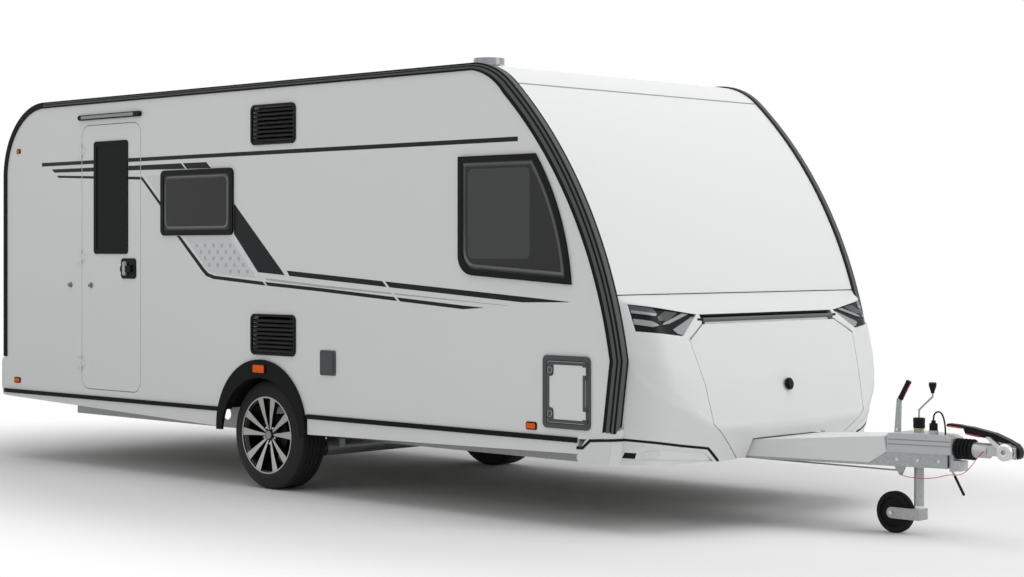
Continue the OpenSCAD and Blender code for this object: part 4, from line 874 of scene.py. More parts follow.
@dataclass
class Livery:
    """Stripes on both side walls; those that cross the doorway are split and ride on the door."""

    gap: float = 0.0001
    foil: float = 0.0006
    second_foil: float = 0.0004
    wall_spans: tuple[Flat, ...] = ((-2960, -1992), (-1288, 2700))
    door_spans: tuple[Flat, ...] = ((-1983, -1838), (-1433, -1297))
    plain_spans: tuple[Flat, ...] = ((-2960, 2700),)
    slash_lines: tuple[tuple[Flat, Flat, float], ...] = (
        ((-840, 2098), (-790, 2055), 18), ((1124, 1342), (1270, 1212), 22), ((-28, 1352), (42, 1297), 18),
    )
    dot_first: Flat = (-800, 1592)
    dot_pitch: Flat = (88.0, 42.0)
    dot_rows: int = 6
    dot_columns: int = 12
    dot_r: float = 14.0
    dot_clear: float = 1.6

    def right_ribbons(self) -> tuple[Ribbon, ...]:
        """Return the stripes of the right side."""
        return (
            Ribbon("belt_line", LIVERY_DARK, ((-2492, 2149), (2244, 2150)), ((-2492, 2123), (2244, 2124))),
            Ribbon("second_line", LIVERY_DARK, ((-2362, 2099), (-1433, 2097), (-569, 2096), (-520, 2056)),
                   ((-2362, 2099), (-2332, 2075), (-1433, 2066), (-520, 2055))),
            Ribbon("third_line", LIVERY_DARK, ((-2300, 2053), (-1273, 2018), (-1054, 1832)),
                   ((-2300, 2053), (-2280, 2037), (-1281, 1999), (-1054, 1803))),
            Ribbon("silver_wedge", LIVERY_PALE, ((-1242, 2026), (-1054, 2022)),
                   ((-1242, 2026), (-1054, 1858))),
            Ribbon("low_line", LIVERY_DARK,
                   ((-886, 1615), (-850, 1615), (-595, 1405), (-548, 1372), (-485, 1355), (30, 1319),
                    (580, 1287), (1812, 1203), (1976, 1194)),
                   ((-886, 1615), (-620, 1389), (-571, 1352), (-494, 1333), (30, 1297), (580, 1265),
                    (1812, 1182), (1976, 1193))),
            Ribbon("grey_line", LIVERY_SILVER, ((36, 1343), (580, 1305), (2166, 1210)),
                   ((36, 1343), (52, 1330), (580, 1292), (2166, 1207))),
            Ribbon("silver_patch", LIVERY_PALE, ((-800, 1614), (-337, 1614), (-54, 1346)),
                   ((-800, 1614), (-579, 1410), (-535, 1380), (-462, 1366), (-54, 1342))),
            Ribbon("dark_slope", LIVERY_DARK, ((-278, 1822), (194, 1397), (228, 1364)),
                   ((-278, 1624), (-35, 1380), (228, 1363))),
            Ribbon("dark_tail", LIVERY_DARK, ((250, 1392), (580, 1371), (2626, 1238)),
                   ((250, 1392), (274, 1359), (580, 1339), (2275, 1229), (2626, 1236))),
        )

    def left_ribbons(self) -> tuple[Ribbon, ...]:
        """Return the stripes of the left side, which has longer windows and no door."""
        return (
            Ribbon("belt_line_left", LIVERY_DARK, ((-2492, 2149), (2244, 2150)),
                   ((-2492, 2123), (2244, 2124))),
            Ribbon("low_line_left", LIVERY_DARK,
                   ((-2300, 1340), (30, 1319), (580, 1287), (1812, 1203), (1976, 1194)),
                   ((-2300, 1320), (30, 1297), (580, 1265), (1812, 1182), (1976, 1193))),
            Ribbon("grey_line_left", LIVERY_SILVER, ((-2200, 1366), (36, 1343), (580, 1305), (2166, 1210)),
                   ((-2200, 1354), (52, 1330), (580, 1292), (2166, 1207))),
            Ribbon("dark_tail_left", LIVERY_DARK, ((-2100, 1416), (250, 1392), (580, 1371), (2626, 1238)),
                   ((-2100, 1382), (274, 1359), (580, 1339), (2275, 1229), (2626, 1236))),
        )

    def lay(self, ribbon: Ribbon, side: Side, spans: Sequence[Flat], body: str) -> None:
        """Lay one stripe on a wall or the door.

        Args:
            ribbon: The stripe.
            side: The side of the body.
            spans: The ranges of stations where it may lie.
            body: The body that carries it.
        """
        solid = Solid()
        for x0, x1 in spans:
            ring = ribbon.outline(x0, x1)
            if ring:
                solid.wall_plate(ring, side, WALL_Y + self.gap, WALL_Y + self.foil)
        if solid.verts:
            name = ribbon.name if body == ROOT else f"{ribbon.name}_door"
            solid.piece(name, ribbon.finish, "trim_black", body)

    def slashes(self) -> None:
        """Lay the pale slashes that part the dark stripes."""
        solid = Solid()
        for (xa, za), (xb, zb), w in self.slash_lines:
            ring = side_outline([(xa, za), (xa + w, za), (xb + w, zb), (xb, zb)])
            solid.wall_plate(ring, Side.RIGHT, WALL_Y + self.gap, WALL_Y + self.foil + self.second_foil)
        solid.piece("livery_slashes", WHITE, "shell_white")

    def dots(self) -> None:
        """Lay the rows of dots on the silver patch."""
        patch = next(r for r in self.right_ribbons() if r.name == "silver_patch")
        clear = self.dot_clear * self.dot_r
        points = []
        for j in range(self.dot_rows):
            z = self.dot_first[1] - j * self.dot_pitch[1]
            for i in range(self.dot_columns):
                x = self.dot_first[0] + (i + 0.5 * (j % 2)) * self.dot_pitch[0]
                if patch.height(patch.bottom, x) + clear < z < patch.height(patch.top, x) - clear:
                    points.append((x / 1000 + AXLE_X, -WALL_Y - self.foil, z / 1000))
        discs = Scatter("livery_dots", radius=self.dot_r / 1000, height=self.second_foil, sides=16)
        discs.piece(points, (0, -1, 0), LIVERY_SILVER, "trim_black")

    def build(self) -> None:
        """Lay the whole livery."""
        for ribbon in self.right_ribbons():
            self.lay(ribbon, Side.RIGHT, self.wall_spans, ROOT)
            self.lay(ribbon, Side.RIGHT, self.door_spans, "entrance_door")
        for ribbon in self.left_ribbons():
            self.lay(ribbon, Side.LEFT, self.plain_spans, ROOT)
        self.slashes()
        self.dots()


@dataclass
class Scatter:
    """A Geometry Nodes tree that sets one turned shape on every point of a mesh.

    The shape is a disc, with a smaller cone on it where it has a crown: dots, screws and bolts.
    """

    name: str
    radius: float = 0.004
    height: float = 0.002
    sides: int = 12
    crown: float = 0.0
    taper: float = 0.55

    def tree(self, axis: Sequence[float], finish: Finish) -> bpy.types.GeometryNodeTree:
        """Build the tree for one direction and finish.

        Args:
            axis: The way that each shape stands up.
            finish: The finish of the shapes.

        Returns:
            The tree, with inputs Radius, Height, Sides and Crown.
        """
        net = Net.group(f"{self.name}_tree", "GeometryNodeTree",
                        (("Geometry", "Geometry"), ("Radius", "Float", self.radius),
                         ("Height", "Float", self.height), ("Sides", "Int", self.sides),
                         ("Crown", "Float", self.crown)), (("Geometry", "Geometry"),))
        gin, shape = net.add("NodeGroupInput"), net.add("GeometryNodeJoinGeometry")
        disc, cap = net.add("GeometryNodeMeshCylinder"), net.add("GeometryNodeMeshCone")
        inner = net.add("ShaderNodeMath", {1: self.taper}, operation="MULTIPLY")
        half = net.add("ShaderNodeMath", {1: 0.5}, operation="MULTIPLY")
        lift, place = net.add("GeometryNodeTransform"), net.add("ShaderNodeCombineXYZ")
        net.join((gin, "Radius", disc, "Radius"), (gin, "Height", disc, "Depth"),
                 (gin, "Sides", disc, "Vertices"), (gin, "Sides", cap, "Vertices"), (gin, "Radius", inner, 0),
                 (gin, "Radius", cap, "Radius Bottom"), (inner, "Value", cap, "Radius Top"),
                 (gin, "Crown", cap, "Depth"), (gin, "Height", half, 0), (half, "Value", place, "Z"),
                 (cap, "Mesh", lift, "Geometry"), (place, "Vector", lift, "Translation"),
                 (disc, "Mesh", shape, "Geometry"))
        if self.crown:
            net.join((lift, "Geometry", shape, "Geometry"))
        spread = net.strew(gin, shape, "Geometry", finish.material())
        turn = Vector((0, 0, 1)).rotation_difference(Vector(axis)).to_euler()
        net.fill(spread, {"Rotation": turn})
        return net.tree

    def piece(
        self,
        points: Sequence[Sequence[float]],
        axis: Sequence[float],
        finish: Finish,
        slot: str,
        body: str = ROOT,
    ) -> bpy.types.Object:
        """Set the shapes on points and return them as one plain mesh piece.

        Args:
            points: Where the shapes stand.
            axis: The way they stand up.
            finish: Their finish.
            slot: Not used.
            body: The body that carries them.

        Returns:
            The finished piece.
        """
        return grown(self.name, points, self.tree(axis, finish),
                     {"Radius": self.radius, "Height": self.height, "Sides": self.sides, "Crown": self.crown},
                     finish, body)


def grown(
    name: str,
    points: Sequence[Sequence[float]],
    tree: bpy.types.GeometryNodeTree,
    sizes: dict[str, float],
    finish: Finish,
    body: str = ROOT,
    smooth: float = 40.0,
) -> bpy.types.Object:
    """Run a Geometry Nodes tree over points and keep its result as a plain mesh piece.

    Args:
        name: The piece's name.
        points: The seed mesh's points.
        tree: The tree.
        sizes: Values for its named inputs.
        finish: The piece's finish.
        body: The body that carries it.
        smooth: Angle under which edges are shaded smooth.

    Returns:
        The finished piece.
    """
    seed = bpy.data.meshes.new(f"{name}_seed")
    seed.from_pydata([tuple(p) for p in points], [], [])
    carrier = bpy.data.objects.new(f"{name}_seed", seed)
    bpy.context.scene.collection.objects.link(carrier)
    modifier = carrier.modifiers.new("grow", "NODES")
    modifier.node_group = tree
    for item in tree.interface.items_tree:
        if item.item_type == "SOCKET" and item.in_out == "INPUT" and item.name in sizes:
            modifier[item.identifier] = sizes[item.name]
    graph = bpy.context.evaluated_depsgraph_get()
    mesh = bpy.data.meshes.new_from_object(carrier.evaluated_get(graph))
    carrier.modifiers.remove(modifier)
    bpy.data.objects.remove(carrier)
    return placed_mesh(name, mesh, finish, body, smooth)


@dataclass
class WindowTrim:
    """Raised pane edges and inner catches of the side and rear windows."""

    pane_y: float = WALL_Y + 0.011
    inset: float = 40.0
    edge: float = 22.0
    corner: float = 46.0
    raised: float = 0.004
    ridge: float = 0.4
    sill: float = 1618.0
    head: float = 2052.0
    right: Flat = (-1050, -280)
    left: tuple[Flat, ...] = ((-2300, -1300), (-560, 560))
    bow_corner: Flat = (1782, 1382)
    bow_round: float = 110.0
    bow_arc: Point = (1228, 1217, 1424)
    bow_length: float = 878.0
    bow_drop: float = 52.0
    bow_lift: float = 4.0
    bow_steps: int = 24
    rear_pane: tuple[float, ...] = (-0.48, 1.6, 0.48, 1.952, 0.046)
    rear_x: float = -2992.5
    catches: tuple[Flat, ...] = ((-930, 1690), (-400, 1690), (1960, 1462), (2420, 1440))
    catch_half: Flat = (22, 9)

    def bow_outline(self, t: float) -> list[Flat]:
        """Return the outline of the front side window, moved in by t millimetres, in metres.

        Args:
            t: Distance in from the frame's outer edge.

        Returns:
            Points in order: the rounded lower corner, the bowed edge upwards and the head's rear end.
        """
        x0, z0, z1 = self.bow_corner[0] + t, self.bow_corner[1] + t, self.head - t
        cx, cz, r = self.bow_arc[0], self.bow_arc[1], self.bow_arc[2] - t
        drop, corner = self.bow_drop / self.bow_length, self.bow_round - t / 2
        low = math.asin((z0 - self.bow_drop + self.bow_lift - cz) / r)
        high = math.asin((z1 - cz) / r)
        ring = []
        for i in range(7):
            a = math.radians(180 + 87 * i / 6)
            ring.append((x0 + corner + corner * math.cos(a),
                         z0 + corner - self.bow_lift + corner * math.sin(a)))
        for i in range(self.bow_steps + 1):
            a = low + (high - low) * i / self.bow_steps
            x, z = cx + r * math.cos(a), cz + r * math.sin(a)
            ring.append((x, max(z, z0 - (x - x0) * drop)))
        return side_outline([*ring, (x0, z1)])

    def ring(self, outer: Outline, inner: Outline, side: Side, solid: Solid) -> None:
        """Add a raised rim between two outlines of equal point counts.

        Args:
            outer: The outer outline.
            inner: The inner outline.
            side: The wall's side.
            solid: What it is added to.
        """
        s, t = side.value, self.ridge
        foot, top = s * (self.pane_y - 0.001), s * (self.pane_y + self.raised)
        mid = [(a * (1 - t) + c * t, b * (1 - t) + d * t) for (a, b), (c, d) in zip(outer, inner)]
        solid.hoop([[(x, y, z) for x, z in row] for row, y in ((outer, foot), (mid, top), (inner, foot))])

    def square_rim(self, x0: float, x1: float, side: Side, solid: Solid) -> None:
        """Add the raised pane edge of a square window between two stations in millimetres."""
        z0, z1, t, e = self.sill, self.head, self.inset, self.inset + self.edge
        outer = side_outline(rounded(x0 + t, z0 + t, x1 - t, z1 - t, self.corner))
        inner = side_outline(rounded(x0 + e, z0 + e, x1 - e, z1 - e, self.corner - 14))
        self.ring(outer, inner, side, solid)

    def build(self) -> None:
        """Make the pane edges and the catches."""
        edges = Solid()
        self.square_rim(*self.right, Side.RIGHT, edges)
        for span in self.left:
            self.square_rim(*span, Side.LEFT, edges)
        outer, inner = self.bow_outline(self.inset), self.bow_outline(self.inset + self.edge)
        for side in Side:
            self.ring(outer, inner, side, edges)
        edges.piece("pane_edges", PANE_EDGE, "frame_black", smooth=35)
        path = [(self.rear_x / 1000 + AXLE_X, y, z) for y, z in rounded(*self.rear_pane)]
        Solid().tube(path, 0.006, 8, closed=True).piece("rear_pane_edge", PANE_EDGE, "frame_black", smooth=60)
        knobs, (a, b) = Solid(), self.catch_half
        for cx, cz in self.catches:
            ring = side_outline(rounded(cx - a, cz - b, cx + a, cz + b, 8))
            knobs.wall_plate(ring, Side.RIGHT, WALL_Y - 0.012, WALL_Y + 0.0015)
        knobs.piece("window_catches", FRAME_BLACK, "frame_black", smooth=30, bevel=0.002)


@dataclass
class DoorTrim:
    """Lever, lock, catch knobs, seal and hinge screws of the entrance door, in millimetres."""

    body: str = "entrance_door"
    lever: tuple[float, ...] = (-1472, 1348, -1432, 1444, 14)
    lock: Point = (-1378, -1158, 1420)
    catch_z: float = 1276.0
    catch_wall_x: float = -2124.0
    catch_door_x: float = -1873.0
    seal: tuple[float, ...] = (-1988.5, 551.5, -1291.5, 2393.5, 84)
    hinge_heights: Point = (730, 1472.5, 2215)
    screw_y: float = -1155.3

    def handle(self) -> None:
        """Make the bright lever in the handle's dark recess."""
        solid = Solid()
        ring = side_outline(rounded(*self.lever))
        solid.wall_plate(ring, Side.RIGHT, WALL_Y + 0.008, WALL_Y + 0.0285)
        solid.piece("door_lever", LEVER_GREY, "frame_black", self.body, smooth=35, bevel=0.005)
        lock = Solid().turned(((0.0001, 0), (0.011, 0), (0.011, 0.003), (0.0085, 0.005), (0.0001, 0.005)),
                              at(*self.lock), (0, -1, 0), 24)
        lock.piece("door_lock_barrel", LAMP_DARK, "frame_black", self.body, smooth=40)

    def knob(self, name: str, x: float, body: str) -> None:
        """Make one catch knob.

        Args:
            name: The piece's name.
            x: Its station in millimetres.
            body: The body that carries it.
        """
        profile = ((0.0001, 0), (0.019, 0), (0.019, 0.004), (0.009, 0.006), (0.008, 0.012), (0.013, 0.016),
                   (0.012, 0.021), (0.0001, 0.0225))
        Solid().turned(profile, at(x, -WALL_Y * 1000, self.catch_z), (0, -1, 0), 28).piece(
            name, GREY_PLASTIC, "frame_black", body, smooth=35)

    def seam(self) -> None:
        """Make the soft seal that fills the foot of the gap round the door, on the wall's side."""
        path = [(x, -WALL_Y + 0.009, z) for x, z in side_outline(rounded(*self.seal))]
        tube = Solid().tube(path, 0.0014, 6, closed=True)
        tube.piece("doorway_seal", GREY_PLASTIC, "rubber_black", smooth=60)

    def screws(self, name: str, x: float, offset: float, body: str) -> None:
        """Make the screws of one half of every hinge.

        Args:
            name: The piece's name.
            x: Their station in millimetres.
            offset: Their distance above and below each hinge's middle.
            body: The body that carries them.
        """
        spots = [at(x, self.screw_y, z + dz) for z in self.hinge_heights for dz in (-offset, offset)]
        Scatter(name, 0.005, 0.002, 10, 0.0012).piece(spots, (0, -1, 0), BRIGHT, "zinc_steel", body)

    def build(self) -> None:
        """Make every piece of the door's trim."""
        self.handle()
        self.knob("catch_on_wall", self.catch_wall_x, ROOT)
        self.knob("catch_on_door", self.catch_door_x, self.body)
        self.seam()
        self.screws("door_leaf_screws", -1955, 14, self.body)
        self.screws("door_post_screws", -2025, 39, ROOT)


@dataclass(frozen=True)
class NoseRow:
    """One row of the nose's loft, in millimetres from the axle."""

    side: Flat
    cheek: Flat
    knee: Point

    def points(self) -> list[Vector]:
        """Return the row from the right side to the left as points of x, y and z."""
        half = [
            Vector((self.side[0], -NOSE_HALF, self.side[1])),
            Vector((self.cheek[0], -CHEEK_HALF, self.cheek[1])),
            Vector((self.knee[0], -self.knee[1], self.knee[2])),
        ]
        return [*half, *(Vector((p.x, -p.y, p.z)) for p in reversed(half))]


@dataclass
class NoseSkin:
    """Smooth mouldings of the nose: its skin, locker lid, lamp panels and lower corners."""

    rows: tuple[NoseRow, ...] = (
        NoseRow((2925.3, 1276), (2925.3, 1276), (2925.3, 700, 1276)),
        NoseRow((2943.9, 1240), (3064, 1226), (3100, 640, 1180)),
        NoseRow((2984.3, 1080), (3130, 1075), (3150, 790, 1060)),
        NoseRow((3009.5, 950), (3168, 908), (3234, 745, 800)),
        NoseRow((3001.0, 845), (3178, 812), (3277, 722, 604)),
        NoseRow((2999.3, 830), (3178, 786), (3283, 709, 572)),
        NoseRow((2938.0, 372), (3066, 372), (3190, 690, 372)),
    )
    row_steps: tuple[int, ...] = (7, 10, 16, 13, 3, 24)
    column_steps: tuple[int, ...] = (14, 18, 44, 18, 14)
    depth: float = 30
    rounds: int = 22
    crease_rounds: int = 3
    lid: tuple[Flat, ...] = (
        (345, 485), (345, 377), (420, 377), (705, 584.5), (725, 794), (765, 1030), (615, 1114.5),
    )
    opening: tuple[Flat, ...] = (
        (405, 352), (425, 372), (710, 582), (730, 794), (770, 1040), (620, 1122), (620, 1168),
    )
    lamp: tuple[Flat, ...] = ((1074, 1230), (642, 1168), (812, 1056), (1068, 1086))
    fairing: tuple[Flat, ...] = ((1105, 583), (975, 565), (696, 505), (521, 371), (521, 342), (1105, 342))
    inset: tuple[Flat, ...] = ((1091, 471), (951, 459), (706, 427), (634, 378), (1098, 404))
    hinge: Flat = (3112, 1140)
    belt: tuple[Point, ...] = (
        (0, 525, 587), (159, 526, 589), (681, 542, 604), (807, 602, 674), (918, 665, 738), (1035, 737, 824),
        (1076, 809, 900), (1104, 885, 990),
    )
    belt_step: float = 18.0
    belt_fade: float = 70.0
    joint: tuple[Flat, ...] = ((2916, 1272.5), (2916, 1279.5), (2927.5, 1279.5), (2927.5, 1272.5))
    joint_half: float = 1103.0
    slot: tuple[Flat, ...] = (
        (3060, 1100), (3060, 1167.5), (3092, 1167.5), (3092, 1157), (3066, 1157), (3066, 1100),
    )
    slot_half: float = 619.0
    leaf_half: float = 581.0
    pin_half: float = 607.0
    cover_half: float = 610.0

    def grid(self) -> list[list[Vector]]:
        """Return the skin's points, row by row, with softened creases."""
        rows = [r.points() for r in self.rows]
        fine: list[list[Vector]] = []
        for i, steps in enumerate(self.row_steps):
            for k in range(steps):
                fine.append([a.lerp(b, k / steps) for a, b in zip(rows[i], rows[i + 1])])
        fine.append(rows[-1])
        out = []
        for row in fine:
            line = []
            for j, steps in enumerate(self.column_steps):
                line.extend(row[j].lerp(row[j + 1], k / steps) for k in range(steps))
            out.append([*line, row[-1]])
        n, m = len(out), len(out[0])
        for turn in range(self.rounds):
            old = [[p.copy() for p in row] for row in out]
            for i in range(1, n - 1):
                for j in range(1, m - 1):
                    out[i][j] = old[i][j].lerp((old[i][j - 1] + old[i][j + 1]) / 2, 0.7)
                    if turn < self.crease_rounds:
                        out[i][j] = out[i][j].lerp((old[i - 1][j] + old[i + 1][j]) / 2, 0.4)
        for row in out:
            for p in row:
                p.x += self.step(abs(p.y), p.z)
        return out

    def step(self, y: float, z: float) -> float:
        """Return how far the lower nose stands out, below the bright band that crosses cheeks and lid.

        Args:
            y: Distance from the centre plane in millimetres.
            z: Height in millimetres.

        Returns:
            The distance in millimetres.
        """
        for (y0, low0, top0), (y1, low1, top1) in zip(self.belt, self.belt[1:]):
            if y <= y1:
                t = (y - y0) / (y1 - y0)
                low, top = low0 + t * (low1 - low0), top0 + t * (top1 - top0)
                f = min(max((z - low) / (top - low), 0.0), 1.0)
                return self.belt_step * (1 - f * f * (3 - 2 * f)) * min(1.0, (NOSE_HALF - y) / self.belt_fade)
        return 0.0

    def loft(self, points: list[list[Vector]], lift: float, depth: float) -> Solid:
        """Return the skin as a solid of even depth.

        Args:
            points: The skin's points, row by row.
            lift: How far its face stands before the nose, in millimetres.
            depth: Its depth along x, in millimetres.

        Returns:
            A closed solid.
        """
        n, m = len(points), len(points[0])
        front = [Vector(at(p.x + lift, p.y, p.z)) for row in points for p in row]
        back = [Vector((p.x - depth / 1000, p.y, p.z)) for p in front]
        b = n * m
        faces = []
        for i in range(n - 1):
            for j in range(m - 1):
                q = (i * m + j, i * m + j + 1, (i + 1) * m + j + 1, (i + 1) * m + j)
                faces += [q[::-1], tuple(b + k for k in q)]
        rim = [*range(m), *(i * m + m - 1 for i in range(1, n)),
               *((n - 1) * m + j for j in range(m - 2, -1, -1)), *(i * m for i in range(n - 2, 0, -1))]
        faces += [(p, q, b + q, b + p) for p, q in zip(rim, [*rim[1:], rim[0]])]
        return Solid().add([*front, *back], faces)

    @staticmethod
    def post(ring: Outline) -> Solid:
        """Return an outline in y and z as a long solid along x, in the frame."""
        return Solid().prism([at(2700, y, z) for y, z in ring], (0.75, 0, 0))

    @staticmethod
    def span(half: Outline) -> list[Flat]:
        """Return half an outline closed with its mirror image."""
        return [*half, *((-y, z) for y, z in reversed(half))]

    def carve(self, body: Solid, cuts: Sequence[Outline] = (), keep: Outline | None = None) -> Solid:
        """Cut outlines out of a solid, or keep what lies inside one.

        Args:
            body: The solid.
            cuts: Outlines in y and z that are cut through.
            keep: The outline that is kept, if any.

        Returns:
            The carved solid.
        """
        steps = [(ring, "DIFFERENCE") for ring in cuts]
        if keep is not None:
            steps.insert(0, (keep, "INTERSECT"))
        for ring, action in steps:
            objs = []
            for solid in (body, self.post(ring)):
                mesh = bpy.data.meshes.new("carve")
                mesh.from_pydata([tuple(v) for v in solid.verts], [], solid.faces)
                work = bmesh.new()
                work.from_mesh(mesh)
                bmesh.ops.recalc_face_normals(work, faces=work.faces)
                work.to_mesh(mesh)
                work.free()
                objs.append(bpy.data.objects.new("carve", mesh))
                bpy.context.scene.collection.objects.link(objs[-1])
            mod = objs[0].modifiers.new("carve", "BOOLEAN")
            mod.operation = action
            mod.solver = "EXACT"
            mod.object = objs[1]
            graph = bpy.context.evaluated_depsgraph_get()
            mesh = bpy.data.meshes.new_from_object(objs[0].evaluated_get(graph))
            body = Solid([v.co.copy() for v in mesh.vertices], [tuple(p.vertices) for p in mesh.polygons])
            for obj in objs:
                bpy.data.objects.remove(obj)
            bpy.data.meshes.remove(mesh)
        return body

    def band(self, line: Outline, width: float) -> list[Flat]:
        """Return a line in y and z as the outline of a band.

        Args:
            line: The line's points.
            width: The band's width.

        Returns:
            The band's outline.
        """
        left, right = [], []
        for i, (y, z) in enumerate(line):
            (y0, z0), (y1, z1) = line[max(i - 1, 0)], line[min(i + 1, len(line) - 1)]
            run = Vector((y1 - y0, z1 - z0)).normalized()
            left.append((y - run.y * width / 2, z + run.x * width / 2))
            right.append((y + run.y * width / 2, z - run.x * width / 2))
        return [*left, *reversed(right)]

    def shell(self, points: list[list[Vector]]) -> None:
        """Make the nose and its lid, with the hinge between them."""
        mirrored = [[(-y, z) for y, z in ring] for ring in (self.lamp, self.fairing)]
        cuts = [self.span(self.opening), self.lamp, self.fairing, *mirrored]
        skin = self.carve(self.loft(points, 0, self.depth), cuts)
        x, z = self.hinge
        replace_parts(skin.piece("nose_skin", NOSE_WHITE, "shell_white", smooth=32), "nose_moulding")
        lid = self.carve(self.loft(points, 0, self.depth), keep=self.span(self.lid))
        lid.across(((x - 6, 1090), (x, 1090), (x, z), (x - 6, z)), self.leaf_half)
        for r, half, steps in ((0.008, self.leaf_half, 20), (0.004, self.pin_half, 16)):
            end = 2 * half / 1000
            lid.turned([(0, 0), (r, 0), (r, end), (0, end)], at(x, -half, z), (0, 1, 0), steps)
        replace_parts(lid.piece("lid_skin", NOSE_WHITE, "shell_white", "locker_lid", smooth=32), "locker_lid")
        arc = [math.radians(a) for a in range(-75, 46, 12)]
        step = [(x + r * math.cos(a), z + r * math.sin(a))
                for r, way in ((14, 1), (10, -1)) for a in arc[::way]]
        Solid().across(step, self.cover_half).piece(
            "lid_hinge_cover", STEP_GREY, "shell_white", "locker_lid", smooth=40)

    def seams(self) -> None:
        """Lay the dark joint over the nose and the black back of the slot above the lid."""
        Solid().across(self.joint, self.joint_half).piece("nose_joint", SEAL, "trim_black")
        Solid().across(self.slot, self.slot_half).piece("slot_back", SEAL, "trim_black")
        knuckles, (x, z) = Solid(), self.hinge
        sleeve = [(0.0045, 0), (0.008, 0), (0.008, 0.068), (0.0045, 0.068)]
        for y in (-650, 582):
            knuckles.turned(sleeve, at(x, y, z), (0, 1, 0), 20)
        knuckles.piece("lid_knuckles", SEAL, "trim_black", smooth=40)

    def lamps(self, points: list[list[Vector]]) -> None:
        """Make the lamp panels, with bright and dark blades on a black ground."""
        inner = [(1073.7, 1229.7), (642.6, 1167.8), (812.3, 1056.3), (1067.7, 1086.3)]
        ground = self.carve(self.loft(points, -12, 24), keep=inner).both()
        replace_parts(ground.piece("lamp_ground", LAMP_DARK, "lamp_dark", smooth=30), "nose_lamps")
        blades: dict[str, tuple[Finish, float, tuple[Outline, ...]]] = {
            "lamp_reflectors": (LAMP_GREY, -9, (
                ((1066, 1227), (961, 1209), (942, 1176), (954, 1168), (1064, 1191)),
                ((882, 1191), (786, 1181), (881, 1140), (945, 1141), (949, 1160)))),
            "lamp_strips": (LAMP_PALE, -7, (
                ((1063, 1199), (947, 1178), (961, 1166), (1063, 1183)),
                ((1062, 1153), (1036, 1149), (989, 1140), (956, 1118), (995, 1109), (1064, 1124)),
                ((752, 1176), (704, 1171), (880, 1125), (931, 1119), (916, 1131)),
                ((680, 1157), (651, 1135), (813, 1063), (840, 1069), (868, 1092)))),
        }
        for name, (finish, lift, rings) in blades.items():
            whole = Solid()
            for ring in rings:
                whole.merge(self.carve(self.loft(points, lift, 6), keep=ring))
            whole.both().piece(name, finish, "lamp_dark", smooth=30)

    def corners(self, points: list[list[Vector]]) -> None:
        """Make the lower corners with their wings, black joint, inset and lamp."""
        skin = self.carve(self.loft(points, 4, self.depth), [self.inset], keep=self.fairing)
        wing = [(2690, 404), (2752, 494), (2890, 547), (2890, 372), (2704, 372)]
        foot = [(2690, 404), (2690, 449), (2890, 449), (2890, 372), (2704, 372)]
        for ring, y0, y1 in ((wing, 1.150, 1.160), (foot, 1.103, 1.150)):
            skin.wall_plate(side_outline(ring), Side.LEFT, y0, y1)
        plan = ((2888, 1160), (2950, 1157), (2990, 1117), (2976, 1100), (2958, 1090), (2888, 1130))
        tops = (546, 548, 566, 583, 583, 546)
        low = [at(x - 28 * (x > 2888), y, 372) for x, y in plan]
        high = [at(x, y, z) for (x, y), z in zip(plan, tops)]
        walls = [(i, i + 6, (i + 1) % 6 + 6, (i + 1) % 6) for i in range(6)]
        skin.add([*low, *high], [tuple(range(6)), tuple(range(11, 5, -1)), *walls])
        fairing = skin.both().piece("fairing_skin", NOSE_WHITE, "shell_white", smooth=32)
        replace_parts(fairing, "corner_fairings")
        self.carve(self.loft(points, -5, 12), keep=self.inset).both().piece(
            "fairing_inset", WHITE, "shell_white", smooth=32)
        line = ((1102, 509), (1084, 507), (1004, 496), (857, 473), (705, 453), (653, 417), (590, 374))
        joint = self.carve(self.loft(points, 5, 8), keep=self.band(line, 14))
        side_line = side_outline(((2690, 444), (2738, 446), (2790, 488), (2888, 496), (2888, 512),
                                  (2784, 504), (2732, 462), (2690, 460)))
        joint.wall_plate(side_line, Side.LEFT, 1.158, 1.1612)
        bend = ((2886, 1160, 496), (2943.5, 1157.2, 500), (2983, 1117.5, 502), (2967, 1099, 503))
        for (xa, ya, za), (xb, yb, zb), out in zip(bend, bend[1:], ((0, 1.6), (1.4, 1.4), (1.6, -1.2))):
            joint.prism([at(xa, ya, za), at(xb, yb, zb), at(xb + 2, yb, zb + 15), at(xa + 2, ya, za + 15)],
                        (out[0] / 1000, out[1] / 1000, 0))
        joint.both().piece("fairing_joint", SEAL, "trim_black", smooth=32)
        patch = ((1086, 440), (1051, 437), (1054, 407), (1092, 410))
        mesh = self.carve(self.loft(points, -3.5, 6), keep=patch)
        mesh.both().piece("fairing_mesh", SEAL, "trim_black", smooth=32)
        lamp = self.carve(self.loft(points, 0, 10), keep=rounded(958, 408, 1034, 448, 18))
        lamp.both().piece("fairing_lamp", LAMP_CLEAR, "lamp_dark", smooth=32)

    def build(self) -> None:
        """Make all of the nose."""
        points = self.grid()
        self.shell(points)
        self.seams()
        self.lamps(points)
        self.corners(points)


